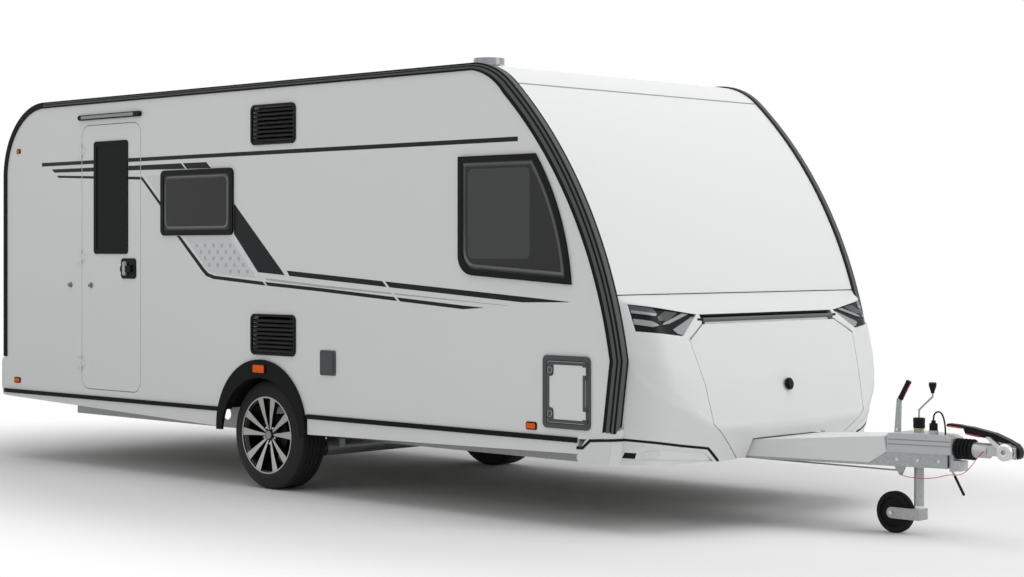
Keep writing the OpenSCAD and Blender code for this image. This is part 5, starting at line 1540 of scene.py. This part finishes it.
@dataclass
class DrawbarTrim:
    """Small pieces on the drawbar: grips, caps, ridges, bolts and the coupling's pads."""

    lever_foot: Flat = (3976.7, 708)
    lever_lean: float = 29.0
    lever_pivot: Flat = (3968, 556)
    knob: Flat = (4183, 764)
    cap: Flat = (4100, 572)
    ball: Flat = (4642, 482)
    fork_bolt: Point = (3954, 49, 112)
    ridge_heights: Flat = (487, 512)
    ridge_ends: tuple[Flat, Flat] = ((3989, 133.8), (4329, 62.8))
    ridge_tall: float = 5.0
    rod: tuple[Point, ...] = (
        (140, -70, 345), (2000, -70, 345), (3985, -70, 345), (4020, -76, 348), (4042, -89, 352),
    )
    clamp_foot: Point = (4320, -30, 362)
    clamp_lean: float = 150.0
    leg_tip: Flat = (4300, 31)
    leg_half: float = 26.0
    leg_slant: float = 13.6
    bolts: Point = (4040, 4150, 4262)
    bolt_height: float = 409.0
    pad_face: float = 66.2
    strap: tuple[Flat, ...] = ((4521, 552), (4545, 556), (4616, 510), (4596, 493))
    handle_half: float = 22.0
    handle_lines: tuple[tuple[Flat, ...], ...] = (
        ((4284, 594.5), (4330, 591.5), (4374, 588.8)), ((4400, 559.8), (4440, 554.2), (4478, 549.6)),
    )
    ribs: int = 5
    rib_first: Flat = (4288, 605.6)
    rib_step: Flat = (16, -0.72)

    @staticmethod
    def spun(
        name: str,
        profile: Sequence[Flat],
        centre: Sequence[float],
        axis: Sequence[float],
        steps: int,
        finish: Finish = RUBBER,
        slot: str = "rubber_black",
    ) -> None:
        """Make one turned piece; see Solid.turned()."""
        Solid().turned(profile, centre, axis, steps).piece(name, finish, slot, smooth=40)

    def leg_face(self, x: float) -> float:
        """Return how far a leg's outer face stands from the centre plane at a station, in millimetres."""
        slant = math.radians(self.leg_slant)
        return self.leg_tip[1] + (self.leg_tip[0] - x) * math.tan(slant) + self.leg_half / math.cos(slant)

    def lever(self) -> None:
        """Put the grip on the brake lever, with its red edge, and the pin through its foot."""
        lean = math.radians(self.lever_lean)
        axis = Vector((math.sin(lean), 0, math.cos(lean)))
        foot = Vector(at(self.lever_foot[0], 0, self.lever_foot[1]))
        grip = [(0, 0.014), (0.0145, 0.014), (0.016, 0.02), (0.0145, 0.026), (0.0142, 0.112), (0.0155, 0.118),
                (0.0155, 0.124), (0.012, 0.1262), (0, 0.1262)]
        self.spun("brake_grip", grip, foot, axis, 28)
        front = Vector((axis.z, 0, -axis.x)) * 0.0108
        edge = [foot + axis * d + front for d in (0.034, 0.06, 0.09, 0.1165)]
        Solid().tube(edge, 0.0058, 12).piece("brake_grip_edge", RED_PLASTIC, "cable_red", smooth=50)
        pin = [(0, -0.0105), (0.009, -0.0105), (0.010, -0.009), (0.010, 0.009), (0.009, 0.0105), (0, 0.0105)]
        x, z = self.lever_pivot
        self.spun("brake_pivot", pin, at(x, 0, z), (0, 1, 0), 20, BRIGHT, "zinc_steel")

    def jockey(self) -> None:
        """Dress the jockey tube with its black cap, yellow ring and knob, and bolts on the fork."""
        x, z = self.cap
        sleeve = [(0.0292, 0), (0.0312, 0.002), (0.0318, 0.014), (0.0306, 0.018), (0.0306, 0.026),
                  (0.0318, 0.03), (0.0318, 0.046), (0.030, 0.0535), (0.0065, 0.0545), (0.0052, 0.0528),
                  (0.0292, 0.0522)]
        self.spun("jockey_cap", sleeve, at(x, 0, z), (0, 0, 1), 36)
        ring = [(0.0262, -0.006), (0.0296, -0.006), (0.0296, -0.001), (0.0262, -0.001)]
        self.spun("jockey_ring", ring, at(x, 0, z), (0, 0, 1), 36, BRASS, "zinc_steel")
        x, z = self.knob
        knob = [(0.0052, -0.004), (0.0092, -0.004), (0.0094, 0.002), (0.0146, 0.018), (0.0206, 0.037),
                (0.0206, 0.048), (0.0175, 0.0538), (0, 0.0548), (0, 0.0522), (0.0052, 0.0)]
        self.spun("crank_knob", knob, at(x, 0, z), (0, 0, 1), 28)
        x, y, z = self.fork_bolt
        for side in Side:
            bolts = Scatter(f"fork_bolt_{side.name.lower()}", radius=0.011, height=0.007, sides=6)
            bolts.piece([at(x, side.value * y, z)], (0, side.value, 0), BRIGHT, "zinc_steel", "jockey_fork")

    def housing(self) -> None:
        """Lay ridges along the overrun housing and dress what hangs below it."""
        ridges = Solid()
        (xa, ya), (xb, yb) = self.ridge_ends
        for z in self.ridge_heights:
            top = z + self.ridge_tall
            face = [at(xa, ya, z), at(xb, yb, z), at(xb, yb, top), at(xa, ya, top)]
            ridges.prism(face, (-0.0004, -0.002, 0))
        ridges.both().piece("housing_ridges", RIDGE_GREY, "grey_plastic")
        rod = [at(*p) for p in self.rod]
        Solid().tube(rod, 0.0045, 12).piece("brake_rod", ZINC, "zinc_steel", smooth=50)
        lean = math.radians(self.clamp_lean)
        grip = [(0.0063, 0.03), (0.0072, 0.034), (0.0072, 0.1395), (0.005, 0.1432), (0, 0.1432), (0, 0.1422),
                (0.0063, 0.141)]
        self.spun("clamp_grip", grip, at(*self.clamp_foot), (math.sin(lean), 0, math.cos(lean)), 18)
        slant = math.radians(self.leg_slant)
        for side in Side:
            bolts = Scatter(f"drawbar_bolts_{side.name.lower()}", radius=0.009, height=0.006, sides=6)
            places = [at(x, side.value * (self.leg_face(x) + 0.2), self.bolt_height) for x in self.bolts]
            bolts.piece(places, (math.sin(slant), side.value * math.cos(slant), 0), BRIGHT, "zinc_steel")

    def coupling(self) -> None:
        """Cap the friction pads, strap them, and put red edges and ribs on the coupling's handle."""
        x, z = self.ball
        face = [(0.0135, 0), (0.0135, 0.0035), (0.030, 0.006), (0.041, 0.0035), (0.0448, -0.002),
                (0.0448, -0.022), (0.0438, -0.024), (0.0438, -0.0005)]
        pads = Solid().turned(face, at(x, self.pad_face, z), (0, 1, 0), 64)
        pads.both().piece("pad_caps", BRIGHT, "cast_grey", smooth=40)
        strap = [at(a, self.handle_half, b) for a, b in self.strap]
        Solid().prism(strap, (0, 0.028, 0)).both().piece("pad_straps", BRIGHT, "cast_grey", bevel=0.003)
        edges = Solid()
        for path in self.handle_lines:
            edges.tube([at(a, self.handle_half, b) for a, b in path], 0.004, 10)
        edges.both().piece("handle_edges", RED_PLASTIC, "cable_red", smooth=50)
        ribs = Solid()
        for k in range(self.ribs):
            x, z = self.rib_first[0] + self.rib_step[0] * k, self.rib_first[1] + self.rib_step[1] * k
            section = ((x, z), (x + 6, z), (x + 5, z + 2), (x + 1, z + 2))
            ribs.across(section, 20)
        ribs.piece("handle_ribs", FRAME_BLACK, "black_steel")

    def build(self) -> None:
        """Make every piece."""
        self.lever()
        self.jockey()
        self.housing()
        self.coupling()


@dataclass
class RoadWheel:
    """One road wheel: a tyre with tread, and a machined rim on a dark hub."""

    side: Side
    radius: float = 0.345
    width: float = 0.225
    inner_y: float = 883.0
    bead: float = 0.232
    grooves: tuple[float, ...] = (0.064, 0.096, 0.129, 0.161)
    groove_depth: float = 0.007
    lugs: int = 64
    lug_size: Point = (0.024, 0.016, 0.016)
    lug_depth: float = 0.037
    lug_sink: float = 0.0092
    lug_turn: float = 2.8
    pairs: int = 5
    split: float = 15.0
    spoke: tuple[tuple[float, float, float, float], ...] = (
        (0.034, 0.0055, 0.202, 0.176), (0.13, 0.014, 0.216, 0.186), (0.237, 0.0255, 0.2255, 0.195),
    )
    bolts: int = 5
    bolt_circle: float = 0.054
    bolt_start: float = 54.0

    @property
    def word(self) -> str:
        """Return the side as a word."""
        return self.side.name.lower()

    @property
    def body(self) -> str:
        """Return the name of the body that turns."""
        return f"wheel_{self.word}"

    def hub(self) -> Point:
        """Return the middle of the wheel's inner face."""
        return at(0, self.side.value * self.inner_y, self.radius * 1000)

    def outward(self) -> Point:
        """Return the axle's direction, away from the caravan."""
        return (0, self.side.value, 0)

    def ring(self, radius: float, depth: float, count: int, start: float = 0.0) -> list[Point]:
        """Return points evenly round the axle.

        Args:
            radius: Their distance from the axle.
            depth: Their distance from the wheel's inner face.
            count: How many there are.
            start: The first point's angle in degrees.

        Returns:
            The points.
        """
        x, y, z = self.hub()
        out = y + self.side.value * depth
        angles = [math.radians(start) + math.tau * k / count for k in range(count)]
        return [(x + radius * math.cos(a), out, z + radius * math.sin(a)) for a in angles]

    def tyre(self) -> None:
        """Make the tyre with its grooves, then the lugs on both shoulders."""
        r, w, b, low = self.radius, self.width, self.bead, self.radius - self.groove_depth
        half = [(b, 0.012), (b + 0.006, 0.005), (b + 0.012, 0.005), (b + 0.018, 0.001), (b + 0.032, 0),
                (b + 0.052, 0.0022), (b + 0.054, 0.0036), (r - 0.04, 0.005), (r - 0.009, 0.021),
                (r - 0.004, 0.031), (r, 0.044)]
        crown = []
        for g in self.grooves:
            crown += [(r, g - 0.0045), (low, g - 0.0035), (low, g + 0.0035), (r, g + 0.0045)]
        profile = [*half, *crown, *((a, w - d) for a, d in reversed(half))]
        tyre = Solid().turned(profile, self.hub(), self.outward(), 112)
        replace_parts(tyre.piece(f"tyre_{self.word}_tread", TYRE, "tyre_rubber", self.body, smooth=30),
                    f"tyre_{self.word}")
        spots = [p for d, turn in ((self.lug_depth, 0.0), (w - self.lug_depth, self.lug_turn))
                 for p in self.ring(r - self.lug_sink, d, self.lugs, turn)]
        grown(f"lugs_{self.word}", spots, self.lug_tree(), {"Size": self.lug_size}, TYRE,
              self.body)

    def lug_tree(self) -> bpy.types.GeometryNodeTree:
        """Build the tree that stands one block on every point, turned to face away from the axle.

        Returns:
            The tree, with the input Size.
        """
        net = Net.group(f"lugs_{self.word}_tree", "GeometryNodeTree",
                        (("Geometry", "Geometry"), ("Size", "Vector", self.lug_size)),
                        (("Geometry", "Geometry"),))
        gin, block = net.add("NodeGroupInput"), net.add("GeometryNodeMeshCube")
        place = net.add("GeometryNodeInputPosition")
        away = net.add("ShaderNodeVectorMath", {1: self.hub()}, operation="SUBTRACT")
        level = net.add("ShaderNodeVectorMath", {1: (1, 0, 1)}, operation="MULTIPLY")
        face = net.add("FunctionNodeAlignRotationToVector", axis="Z", pivot_axis="Y")
        spread = net.strew(gin, block, "Mesh", TYRE.material())
        net.join((place, "Position", away, 0), (away, "Vector", level, 0), (level, "Vector", face, "Vector"),
                 (gin, "Size", block, "Size"), (face, "Rotation", spread, "Rotation"))
        return net.tree

    def rim(self) -> None:
        """Make the rim: a deep barrel with a thin lip, wedge spokes in pairs, a dark hub and bolts."""
        w, b = self.width, self.bead - 0.0003
        barrel = [(b - 0.012, 0.014), (b, 0.014), (b, w - 0.011), (0.2455, w - 0.005), (0.2455, w + 0.002),
                  (0.2365, w + 0.002), (0.2355, w - 0.006), (b - 0.012, w - 0.03)]
        rim = Solid().turned(barrel, self.hub(), self.outward(), 96)
        x, y, z = self.hub()
        way = self.side.value
        for k in range(self.pairs):
            for lean in (-1, 1):
                a = math.radians(90 + 360 / self.pairs * k + lean * self.split)
                along, across = Vector((math.cos(a), 0, math.sin(a))), Vector((-math.sin(a), 0, math.cos(a)))
                rim.bar([[Vector((x, y + way * d, z)) + along * r + across * s * h
                          for s, d in ((-1, top), (1, top), (1, low), (-1, low))]
                         for r, h, top, low in self.spoke])
        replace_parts(rim.piece(f"rim_{self.word}_wedges", RIM, "alloy", self.body, smooth=30),
                    f"rim_{self.word}")
        drum = [(0.031, 0.0), (0.04, 0.0), (0.04, 0.024), (0.13, 0.024), (0.13, 0.16), (0.066, 0.166),
                (0.064, 0.188), (0.044, 0.196), (0.034, 0.196), (0.034, 0.208), (0.0, 0.21), (0.0, 0.12),
                (0.031, 0.12)]
        cap = [(0, 0.209), (0.026, 0.209), (0.0265, 0.212), (0.024, 0.2145), (0, 0.2155)]
        for name, profile, steps, finish in (("hub", drum, 64, HUB_BLACK), ("hub_cap", cap, 40, LAMP_PALE)):
            Solid().turned(profile, self.hub(), self.outward(), steps).piece(
                f"{name}_{self.word}", finish, "alloy", self.body, smooth=35)
        Scatter(f"lug_bolts_{self.word}", 0.0085, 0.012, 6, 0.004).piece(
            self.ring(self.bolt_circle, 0.196, self.bolts, self.bolt_start), self.outward(), BRIGHT,
            "zinc_steel", self.body)

    def build(self) -> None:
        """Make the whole wheel."""
        self.tyre()
        self.rim()


@dataclass
class MarkerLamps:
    """Amber side lamps on dark bases, and the long lamp over the door."""

    places: tuple[tuple[float, float, float, float, float], ...] = (
        (-62, 738, 62, 800, 0.018), (2308, 528, 2390, 572, 0.0), (-2850, 552, -2768, 594, 0.0),
        (-2818, 2226, -2768, 2260, 0.0),
    )
    margin: float = 7.0
    base_face: float = WALL_Y + 0.0055
    lens_face: float = WALL_Y + 0.0108
    door_lamp: tuple[float, float, float, float] = (-2015, 2430, -1277, 2466)
    door_face: float = WALL_Y + 0.022
    glass_ends: Flat = (46, 70)

    def build(self) -> None:
        """Make the lenses, their bases and the door's lamp."""
        lenses, bases, t = Solid(), Solid(), self.margin
        for x0, z0, x1, z1, out in self.places:
            base = side_outline(rounded(x0, z0, x1, z1, 12))
            lens = side_outline(rounded(x0 + t, z0 + t, x1 - t, z1 - t, 7))
            for side in Side:
                bases.wall_plate(base, side, WALL_Y + out, self.base_face + out)
                lenses.wall_plate(lens, side, self.base_face + out, self.lens_face + out)
        lens_piece = lenses.piece("marker_lenses", LAMP_AMBER, "lamp_amber", smooth=30, bevel=0.002)
        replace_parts(lens_piece, "marker_lamps")
        bases.piece("marker_bases", FRAME_BLACK, "trim_black", smooth=30, bevel=0.001)
        x0, z0, x1, z1 = self.door_lamp
        base = side_outline(rounded(x0, z0, x1, z1, 17))
        Solid().wall_plate(base, Side.RIGHT, WALL_Y, self.door_face).piece(
            "door_lamp_base", FRAME_BLACK, "lamp_dark", smooth=30, bevel=0.004)
        glass = side_outline(rounded(x0 + self.glass_ends[0], z0 + t, x1 - self.glass_ends[1], z1 - t, 10))
        Solid().wall_plate(glass, Side.RIGHT, WALL_Y + 0.02, WALL_Y + 0.0258).piece(
            "door_lamp_glass", LAMP_PALE, "lamp_dark", smooth=30, bevel=0.002)


@dataclass
class BowTrim:
    """Raised ridges on the bow's edge trim, coloured grey as painted highlight of the glossy black trim, its
    taper to the roof rail, the roof's seam and window shades.

    Pairs named faces are the two sides of a bar, in millimetres from the centre plane.
    """

    centre: Flat = (388.0, 511.5)
    radius: float = 2650.0
    corner: Flat = (1883.5, 2125.0)
    corner_radius: float = 450.0
    turn: float = 47.17
    rail: float = 0.425
    rear: float = -2460.0
    tuck: Point = (3004.7, 930.0, 0.134)
    width: float = 80.0
    ridges: tuple[Flat, ...] = ((1.5, 16), (31, 54))
    ridge_faces: Flat = (1157.5, 1159.6)
    crest: Flat = (-9.2, -7.5)
    crest_faces: Flat = (1120, 1152)
    taper: Flat = (28, 30)
    taper_faces: Flat = (1149, 1157.8)
    foot: Flat = (0.66, 1.7)
    foot_inset: float = -8.0
    foot_faces: Flat = (1100, 1158)
    seam: Flat = (-1.4, 3)
    seam_turn: float = 0.16
    seam_faces: Flat = (-NOSE_HALF, NOSE_HALF)
    shade: tuple[float, ...] = (1862, 1470, 2345, 1978, 34)
    shade_faces: Flat = (WALL_Y + 0.0095, WALL_Y + 0.0116)

    def station(self, angle: float, inset: float) -> Flat:
        """Return a point inside the bow's edge in millimetres.

        Args:
            angle: Angle up from level, in degrees; past 90 the distance back along the roof.
            inset: Distance in from the edge.

        Returns:
            The station and the height.
        """
        (x, z), r = (self.centre, self.radius) if angle < self.turn else (self.corner, self.corner_radius)
        a = math.radians(min(angle, 90))
        height = z + r * math.sin(a)
        if height < self.tuck[1]:
            return self.tuck[0] - (self.tuck[1] - height) * self.tuck[2] - inset, height
        return x + (r - inset) * math.cos(a) - max(angle - 90, 0), z + (r - inset) * math.sin(a)

    def scale(self, angle: float) -> float:
        """Return how much of the full width the trim has at an angle."""
        t = min(max((angle - self.turn) / (90 - self.turn), 0), 1)
        return 1 + (self.rail - 1) * t

    def strip(self, solid: Solid, rows: Sequence[Point], faces: Flat, sign: int = 1) -> None:
        """Add a bar whose edges follow the bow.

        Args:
            solid: What it is added to.
            rows: Angle, outer inset and inner inset of each station.
            faces: The bar's two sides.
            sign: The side of the body that it is on, as the sign of y.
        """
        y0, y1 = (sign * y for y in faces)
        sections = []
        for angle, outer, inner in rows:
            (xo, zo), (xi, zi) = self.station(angle, outer), self.station(angle, inner)
            sections.append([at(xo, y0, zo), at(xo, y1, zo), at(xi, y1, zi), at(xi, y0, zi)])
        solid.bar(sections)

    def build(self) -> None:
        """Make the ridges, the taper, the seam and the shades."""
        run = [0.7 + 46.3 * i / 44 for i in range(45)] + [48 + 3 * i for i in range(15)]
        bend = [self.turn + (90 - self.turn) * i / 14 for i in range(15)]
        whole = [*run, 90 + self.corner[0] - self.rear]
        ridges, taper, seam, shades = Solid(), Solid(), Solid(), Solid()
        shade = side_outline(rounded(*self.shade))
        inset, least = self.taper
        for side in Side:
            for outer, inner in self.ridges:
                rows = [(a, outer * self.scale(a), inner * self.scale(a)) for a in whole]
                self.strip(ridges, rows, self.ridge_faces, side.value)
            self.strip(ridges, [(a, *self.crest) for a in run], self.crest_faces, side.value)
            rows = [(a, inset, max(self.width * self.scale(a), least)) for a in bend]
            self.strip(taper, rows, self.taper_faces, side.value)
            rows = [(a, self.foot_inset, self.width) for a in self.foot]
            self.strip(taper, rows, self.foot_faces, side.value)
            shades.wall_plate(shade, side, *self.shade_faces)
        # The ridges and crest are raised strips; their grey colour is painted highlight on the black trim.
        ridges.piece("trim_ridges_painted_highlight", TRIM_HIGHLIGHT, "trim_black", smooth=30)
        taper.piece("trim_taper", TRIM_BLACK, "trim_black", smooth=30)
        rows = [(self.turn + a, *self.seam) for a in (-self.seam_turn, self.seam_turn)]
        self.strip(seam, rows, self.seam_faces)
        seam.piece("roof_seam", RIDGE_GREY, "shell_white")
        shades.piece("window_shades", SHADE_GREY, "frame_black", smooth=30)


@dataclass
class HatchTrim:
    """Grey rims, corner locks and lock buttons on the storage hatch and the toilet door."""

    doors: tuple[tuple[str, Side, float, float, float, float], ...] = (
        ("service_hatch", Side.RIGHT, 2442, 548, 2786, 945),
        ("toilet_door", Side.LEFT, -2300, 640, -1940, 960),
    )
    inset: float = 33.0
    width: float = 17.0
    back_y: float = 1.1590
    rim_y: float = 1.1612
    lock_y: float = 1.1622
    lock: Flat = (48, 80)
    button: tuple[Flat, ...] = ((0.0001, 0), (0.0178, 0), (0.0178, 0.012), (0.015, 0.0145), (0.0001, 0.0145))
    button_at: Flat = (60, 1156)

    def build(self) -> None:
        """Make each door's rim with its locks, carried by the door."""
        wide, tall = self.lock
        for body, side, x0, z0, x1, z1 in self.doors:
            t, e, s = self.inset, self.inset + self.width, side.value
            outer = side_outline(rounded(x0 + t, z0 + t, x1 - t, z1 - t, 12))
            inner = side_outline(rounded(x0 + e, z0 + e, x1 - e, z1 - e, 8))
            rows = ((outer, self.back_y), (outer, self.rim_y), (inner, self.rim_y), (inner, self.back_y))
            solid = Solid().hoop([[(x, s * y, z) for x, z in ring] for ring, y in rows])
            for low, high, k in ((z0 + t, z0 + t + tall, 0.2), (z1 - t - tall, z1 - t, 0.8)):
                plate = side_outline(rounded(x0 + t, low, x0 + t + wide, high, 20))
                solid.wall_plate(plate, side, self.back_y, self.lock_y)
                centre = at(x0 + self.button_at[0], s * self.button_at[1], z0 + k * (z1 - z0))
                solid.turned(self.button, centre, (0, s, 0), 28)
            solid.piece(f"{body}_rim", HATCH_GREY, "grey_plastic", body, smooth=35)


@dataclass(frozen=True)
class RearPlate:
    """A rounded plate across the middle of the rear, in millimetres."""

    name: str
    finish: Finish
    slot: str
    out: float
    depth: float
    half: float
    foot: float
    top: float
    corner: float
    bevel: float = 0.0


@dataclass
class EndTrim:
    """Trim of the rear, the roof and the wheel openings that the part leaves plain."""

    rear: float = -2980.0
    plates: tuple[RearPlate, ...] = (
        RearPlate("plate_holder", FRAME_BLACK, "trim_black", 0, 5, 270, 790, 922, 10, 0.001),
        RearPlate("blank_plate", LAMP_CLEAR, "shell_white", 5, 1.5, 258, 801, 911, 6),
        RearPlate("brake_lamp_base", FRAME_BLACK, "trim_black", 0, 6, 172, 1968, 2004, 10),
        RearPlate("brake_lamp", LAMP_RED, "lamp_red", 6, 5, 160, 1975, 1997, 6, 0.002),
    )
    grip_y: float = 1010.0
    grip: tuple[Flat, ...] = (
        (0, 960), (18, 964), (28, 976), (30, 1000), (30, 1120), (28, 1144), (18, 1156), (0, 1160),
    )
    grip_feet: tuple[Flat, ...] = ((935, 985), (1135, 1185))
    lamp_face: float = -3019.1
    lamp_bars: Point = (793, 868, 943)
    roof: float = 2575.0
    skylights: tuple[Point, ...] = ((150, 860, 580), (-1560, 400, 400))
    frame_margins: Flat = (66, 44)
    roof_joints: Flat = (-900, 1020)
    joint_half: Flat = (18, 1095)
    opening_z: float = 322.0
    opening_radii: Flat = (392.0, 389.6)
    bracket: tuple[Flat, ...] = ((130, 308), (200, 308), (188, 356), (142, 356))

    def panel(self, x: float, depth: float, y0: float, y1: float, z0: float, z1: float, r: float) -> Solid:
        """Return a rounded plate that faces the rear.

        Args:
            x: Station of its back.
            depth: Its thickness.
            y0: One side.
            y1: The other side.
            z0: Its foot.
            z1: Its top.
            r: Radius of its corners.

        Returns:
            The plate.
        """
        ring = [at(x, y, z) for y, z in rounded(y0, z0, y1, z1, r)]
        return Solid().prism(ring, (-depth / 1000, 0, 0))

    def back(self) -> None:
        """Make the blank plate, the high brake lamp, the grab handles and the lamps' segments."""
        for p in self.plates:
            plate = self.panel(self.rear - p.out, p.depth, -p.half, p.half, p.foot, p.top, p.corner)
            plate.piece(p.name, p.finish, p.slot, bevel=p.bevel)
        grip = smooth_path([at(self.rear - d, self.grip_y, z) for d, z in self.grip], 2)
        Solid().tube(grip, 0.009, 12).both().piece("grab_handles", GREY_PLASTIC, "grey_plastic", smooth=50)
        feet, bars = Solid(), Solid()
        for z0, z1 in self.grip_feet:
            feet.merge(self.panel(self.rear, 7, self.grip_y - 20, self.grip_y + 20, z0, z1, 14))
        feet.both().piece("grab_handle_feet", GREY_PLASTIC, "grey_plastic", bevel=0.002)
        for name, finish, slot, y0, y1 in (("turn_lamps", LAMP_AMBER, "lamp_amber", 955, 1046),
                                           ("reverse_lamps", LAMP_CLEAR, "lamp_dark", 704, 782)):
            self.panel(self.lamp_face, 0.7, y0, y1, 586, 670, 12).both().piece(name, finish, slot)
        for y in self.lamp_bars:
            bars.merge(self.panel(self.lamp_face, 0.5, y, y + 4, 574, 682, 1))
        bars.both().piece("lamp_bars", FRAME_BLACK, "trim_black")

    def slab(self, solid: Solid, x0: float, x1: float, y0: float, y1: float, tall: float) -> None:
        """Add a box that stands on the roof.

        Args:
            solid: What it is added to.
            x0: Its rear station.
            x1: Its front station.
            y0: One side.
            y1: The other side.
            tall: Its height in metres.
        """
        ring = [at(x, y, self.roof) for x, y in ((x0, y0), (x1, y0), (x1, y1), (x0, y1))]
        solid.prism(ring, (0, 0, tall))

    def top(self) -> None:
        """Frame the skylights and lay the joint strips across the roof."""
        frames, strips = Solid(), Solid()
        outer, inner = self.frame_margins
        for cx, lx, ly in self.skylights:
            ax, ay, bx, by = lx / 2 + outer, ly / 2 + outer, lx / 2 + inner, ly / 2 + inner
            bars = ((-ax, ax, by, ay), (-ax, ax, -ay, -by), (bx, ax, -by, by), (-ax, -bx, -by, by))
            for x0, x1, y0, y1 in bars:
                self.slab(frames, cx + x0, cx + x1, y0, y1, 0.016)
        frames.piece("skylight_frames", WHITE, "shell_white", bevel=0.003)
        a, b = self.joint_half
        for x in self.roof_joints:
            self.slab(strips, x - a, x + a, -b, b, 0.0015)
        strips.piece("roof_joints", LAMP_CLEAR, "shell_white")

    def openings(self) -> None:
        """Line the cut edge of each wheel opening and carry the brake rod on the axle."""
        liner = Solid()
        arc = [math.radians(a) for a in range(26, 156, 4)]
        ring = [(r * math.cos(a), self.opening_z + r * math.sin(a))
                for r, way in zip(self.opening_radii, (1, -1)) for a in arc[::way]]
        for side in Side:
            liner.wall_plate(side_outline(ring), side, 1.112, WALL_Y + 0.0005)
        liner.piece("opening_liners", BOX_BLACK, "trim_black", smooth=30)
        Solid().prism([at(x, -84, z) for x, z in self.bracket], (0, 0.028, 0)).piece(
            "rod_bracket", BLACK_STEEL, "black_steel", bevel=0.002)

    def build(self) -> None:
        """Make every piece."""
        self.back()
        self.top()
        self.openings()


@dataclass
class Cords:
    """The plug's lead and the thin breakaway cable, as points in millimetres from the axle."""

    lead_d: float = 0.009
    wire_d: float = 0.004
    lead: tuple[Point, ...] = (
        (4283, -36, 548), (4282, -36, 580), (4279, -36, 606), (4274, -36, 628), (4268, -36, 645),
        (4260, -36, 658), (4248, -36, 666), (4235, -36, 666), (4223, -36, 660), (4214, -36, 648),
        (4211, -36, 634), (4211, -36, 620),
    )
    wire: tuple[Point, ...] = (
        (4047, -99.7, 336), (4048, -106, 334), (4056, -112, 329), (4076, -113, 324), (4116, -110, 319),
        (4168, -103, 317), (4220, -94, 320), (4262, -86, 327), (4296, -79, 337), (4324, -72, 344),
        (4350, -66, 346), (4374, -62, 347), (4398, -60, 354), (4424, -58, 372), (4452, -56, 402),
        (4480, -53, 440), (4500, -48, 463), (4510, -42.4, 477),
    )

    def build(self) -> None:
        route = smooth_path([at(*p) for p in self.lead], 2)
        lead = Solid().tube(route, self.lead_d / 2, 14).piece("plug_lead", RUBBER, "rubber_black", smooth=60)
        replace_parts(lead, "plug_cable")
        route = smooth_path([at(*p) for p in self.wire], 2)
        tube = Solid().tube(route, self.wire_d / 2, 10)
        wire = tube.piece("breakaway_wire", RED_PLASTIC, "cable_red", smooth=60)
        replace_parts(wire, "breakaway_cable")


def dress_nodes(frame: dict) -> None:
    """Give every node of the part its finish.
    """
    for name, obj in frame["nodes"].items():
        finish = NODE_FINISH.get(name)
        if finish is None:
            continue
        obj.data.materials.clear()
        obj.data.materials.append(finish.material())
        LOG.info("node %s: %s", name, finish.name)


def main() -> None:
    """Load the part, build and dress every sub-assembly."""
    logging.basicConfig(level=logging.INFO, format="%(message)s")
    for name in ("Cube", "Light", "Camera"):
        spare = bpy.data.objects.get(name)
        if spare is not None:
            bpy.data.objects.remove(spare)
    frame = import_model()
    Studio().build()
    dress_nodes(frame)
    assemblies = (
        Livery(), WindowTrim(), DoorTrim(), MarkerLamps(), NoseSkin(), DrawbarTrim(), RoadWheel(Side.RIGHT),
        RoadWheel(Side.LEFT), BowTrim(), HatchTrim(), EndTrim(), Cords(),
    )
    for assembly in assemblies:
        LOG.info("building %s", type(assembly).__name__)
        assembly.build()


if __name__ == "__main__":
    main()
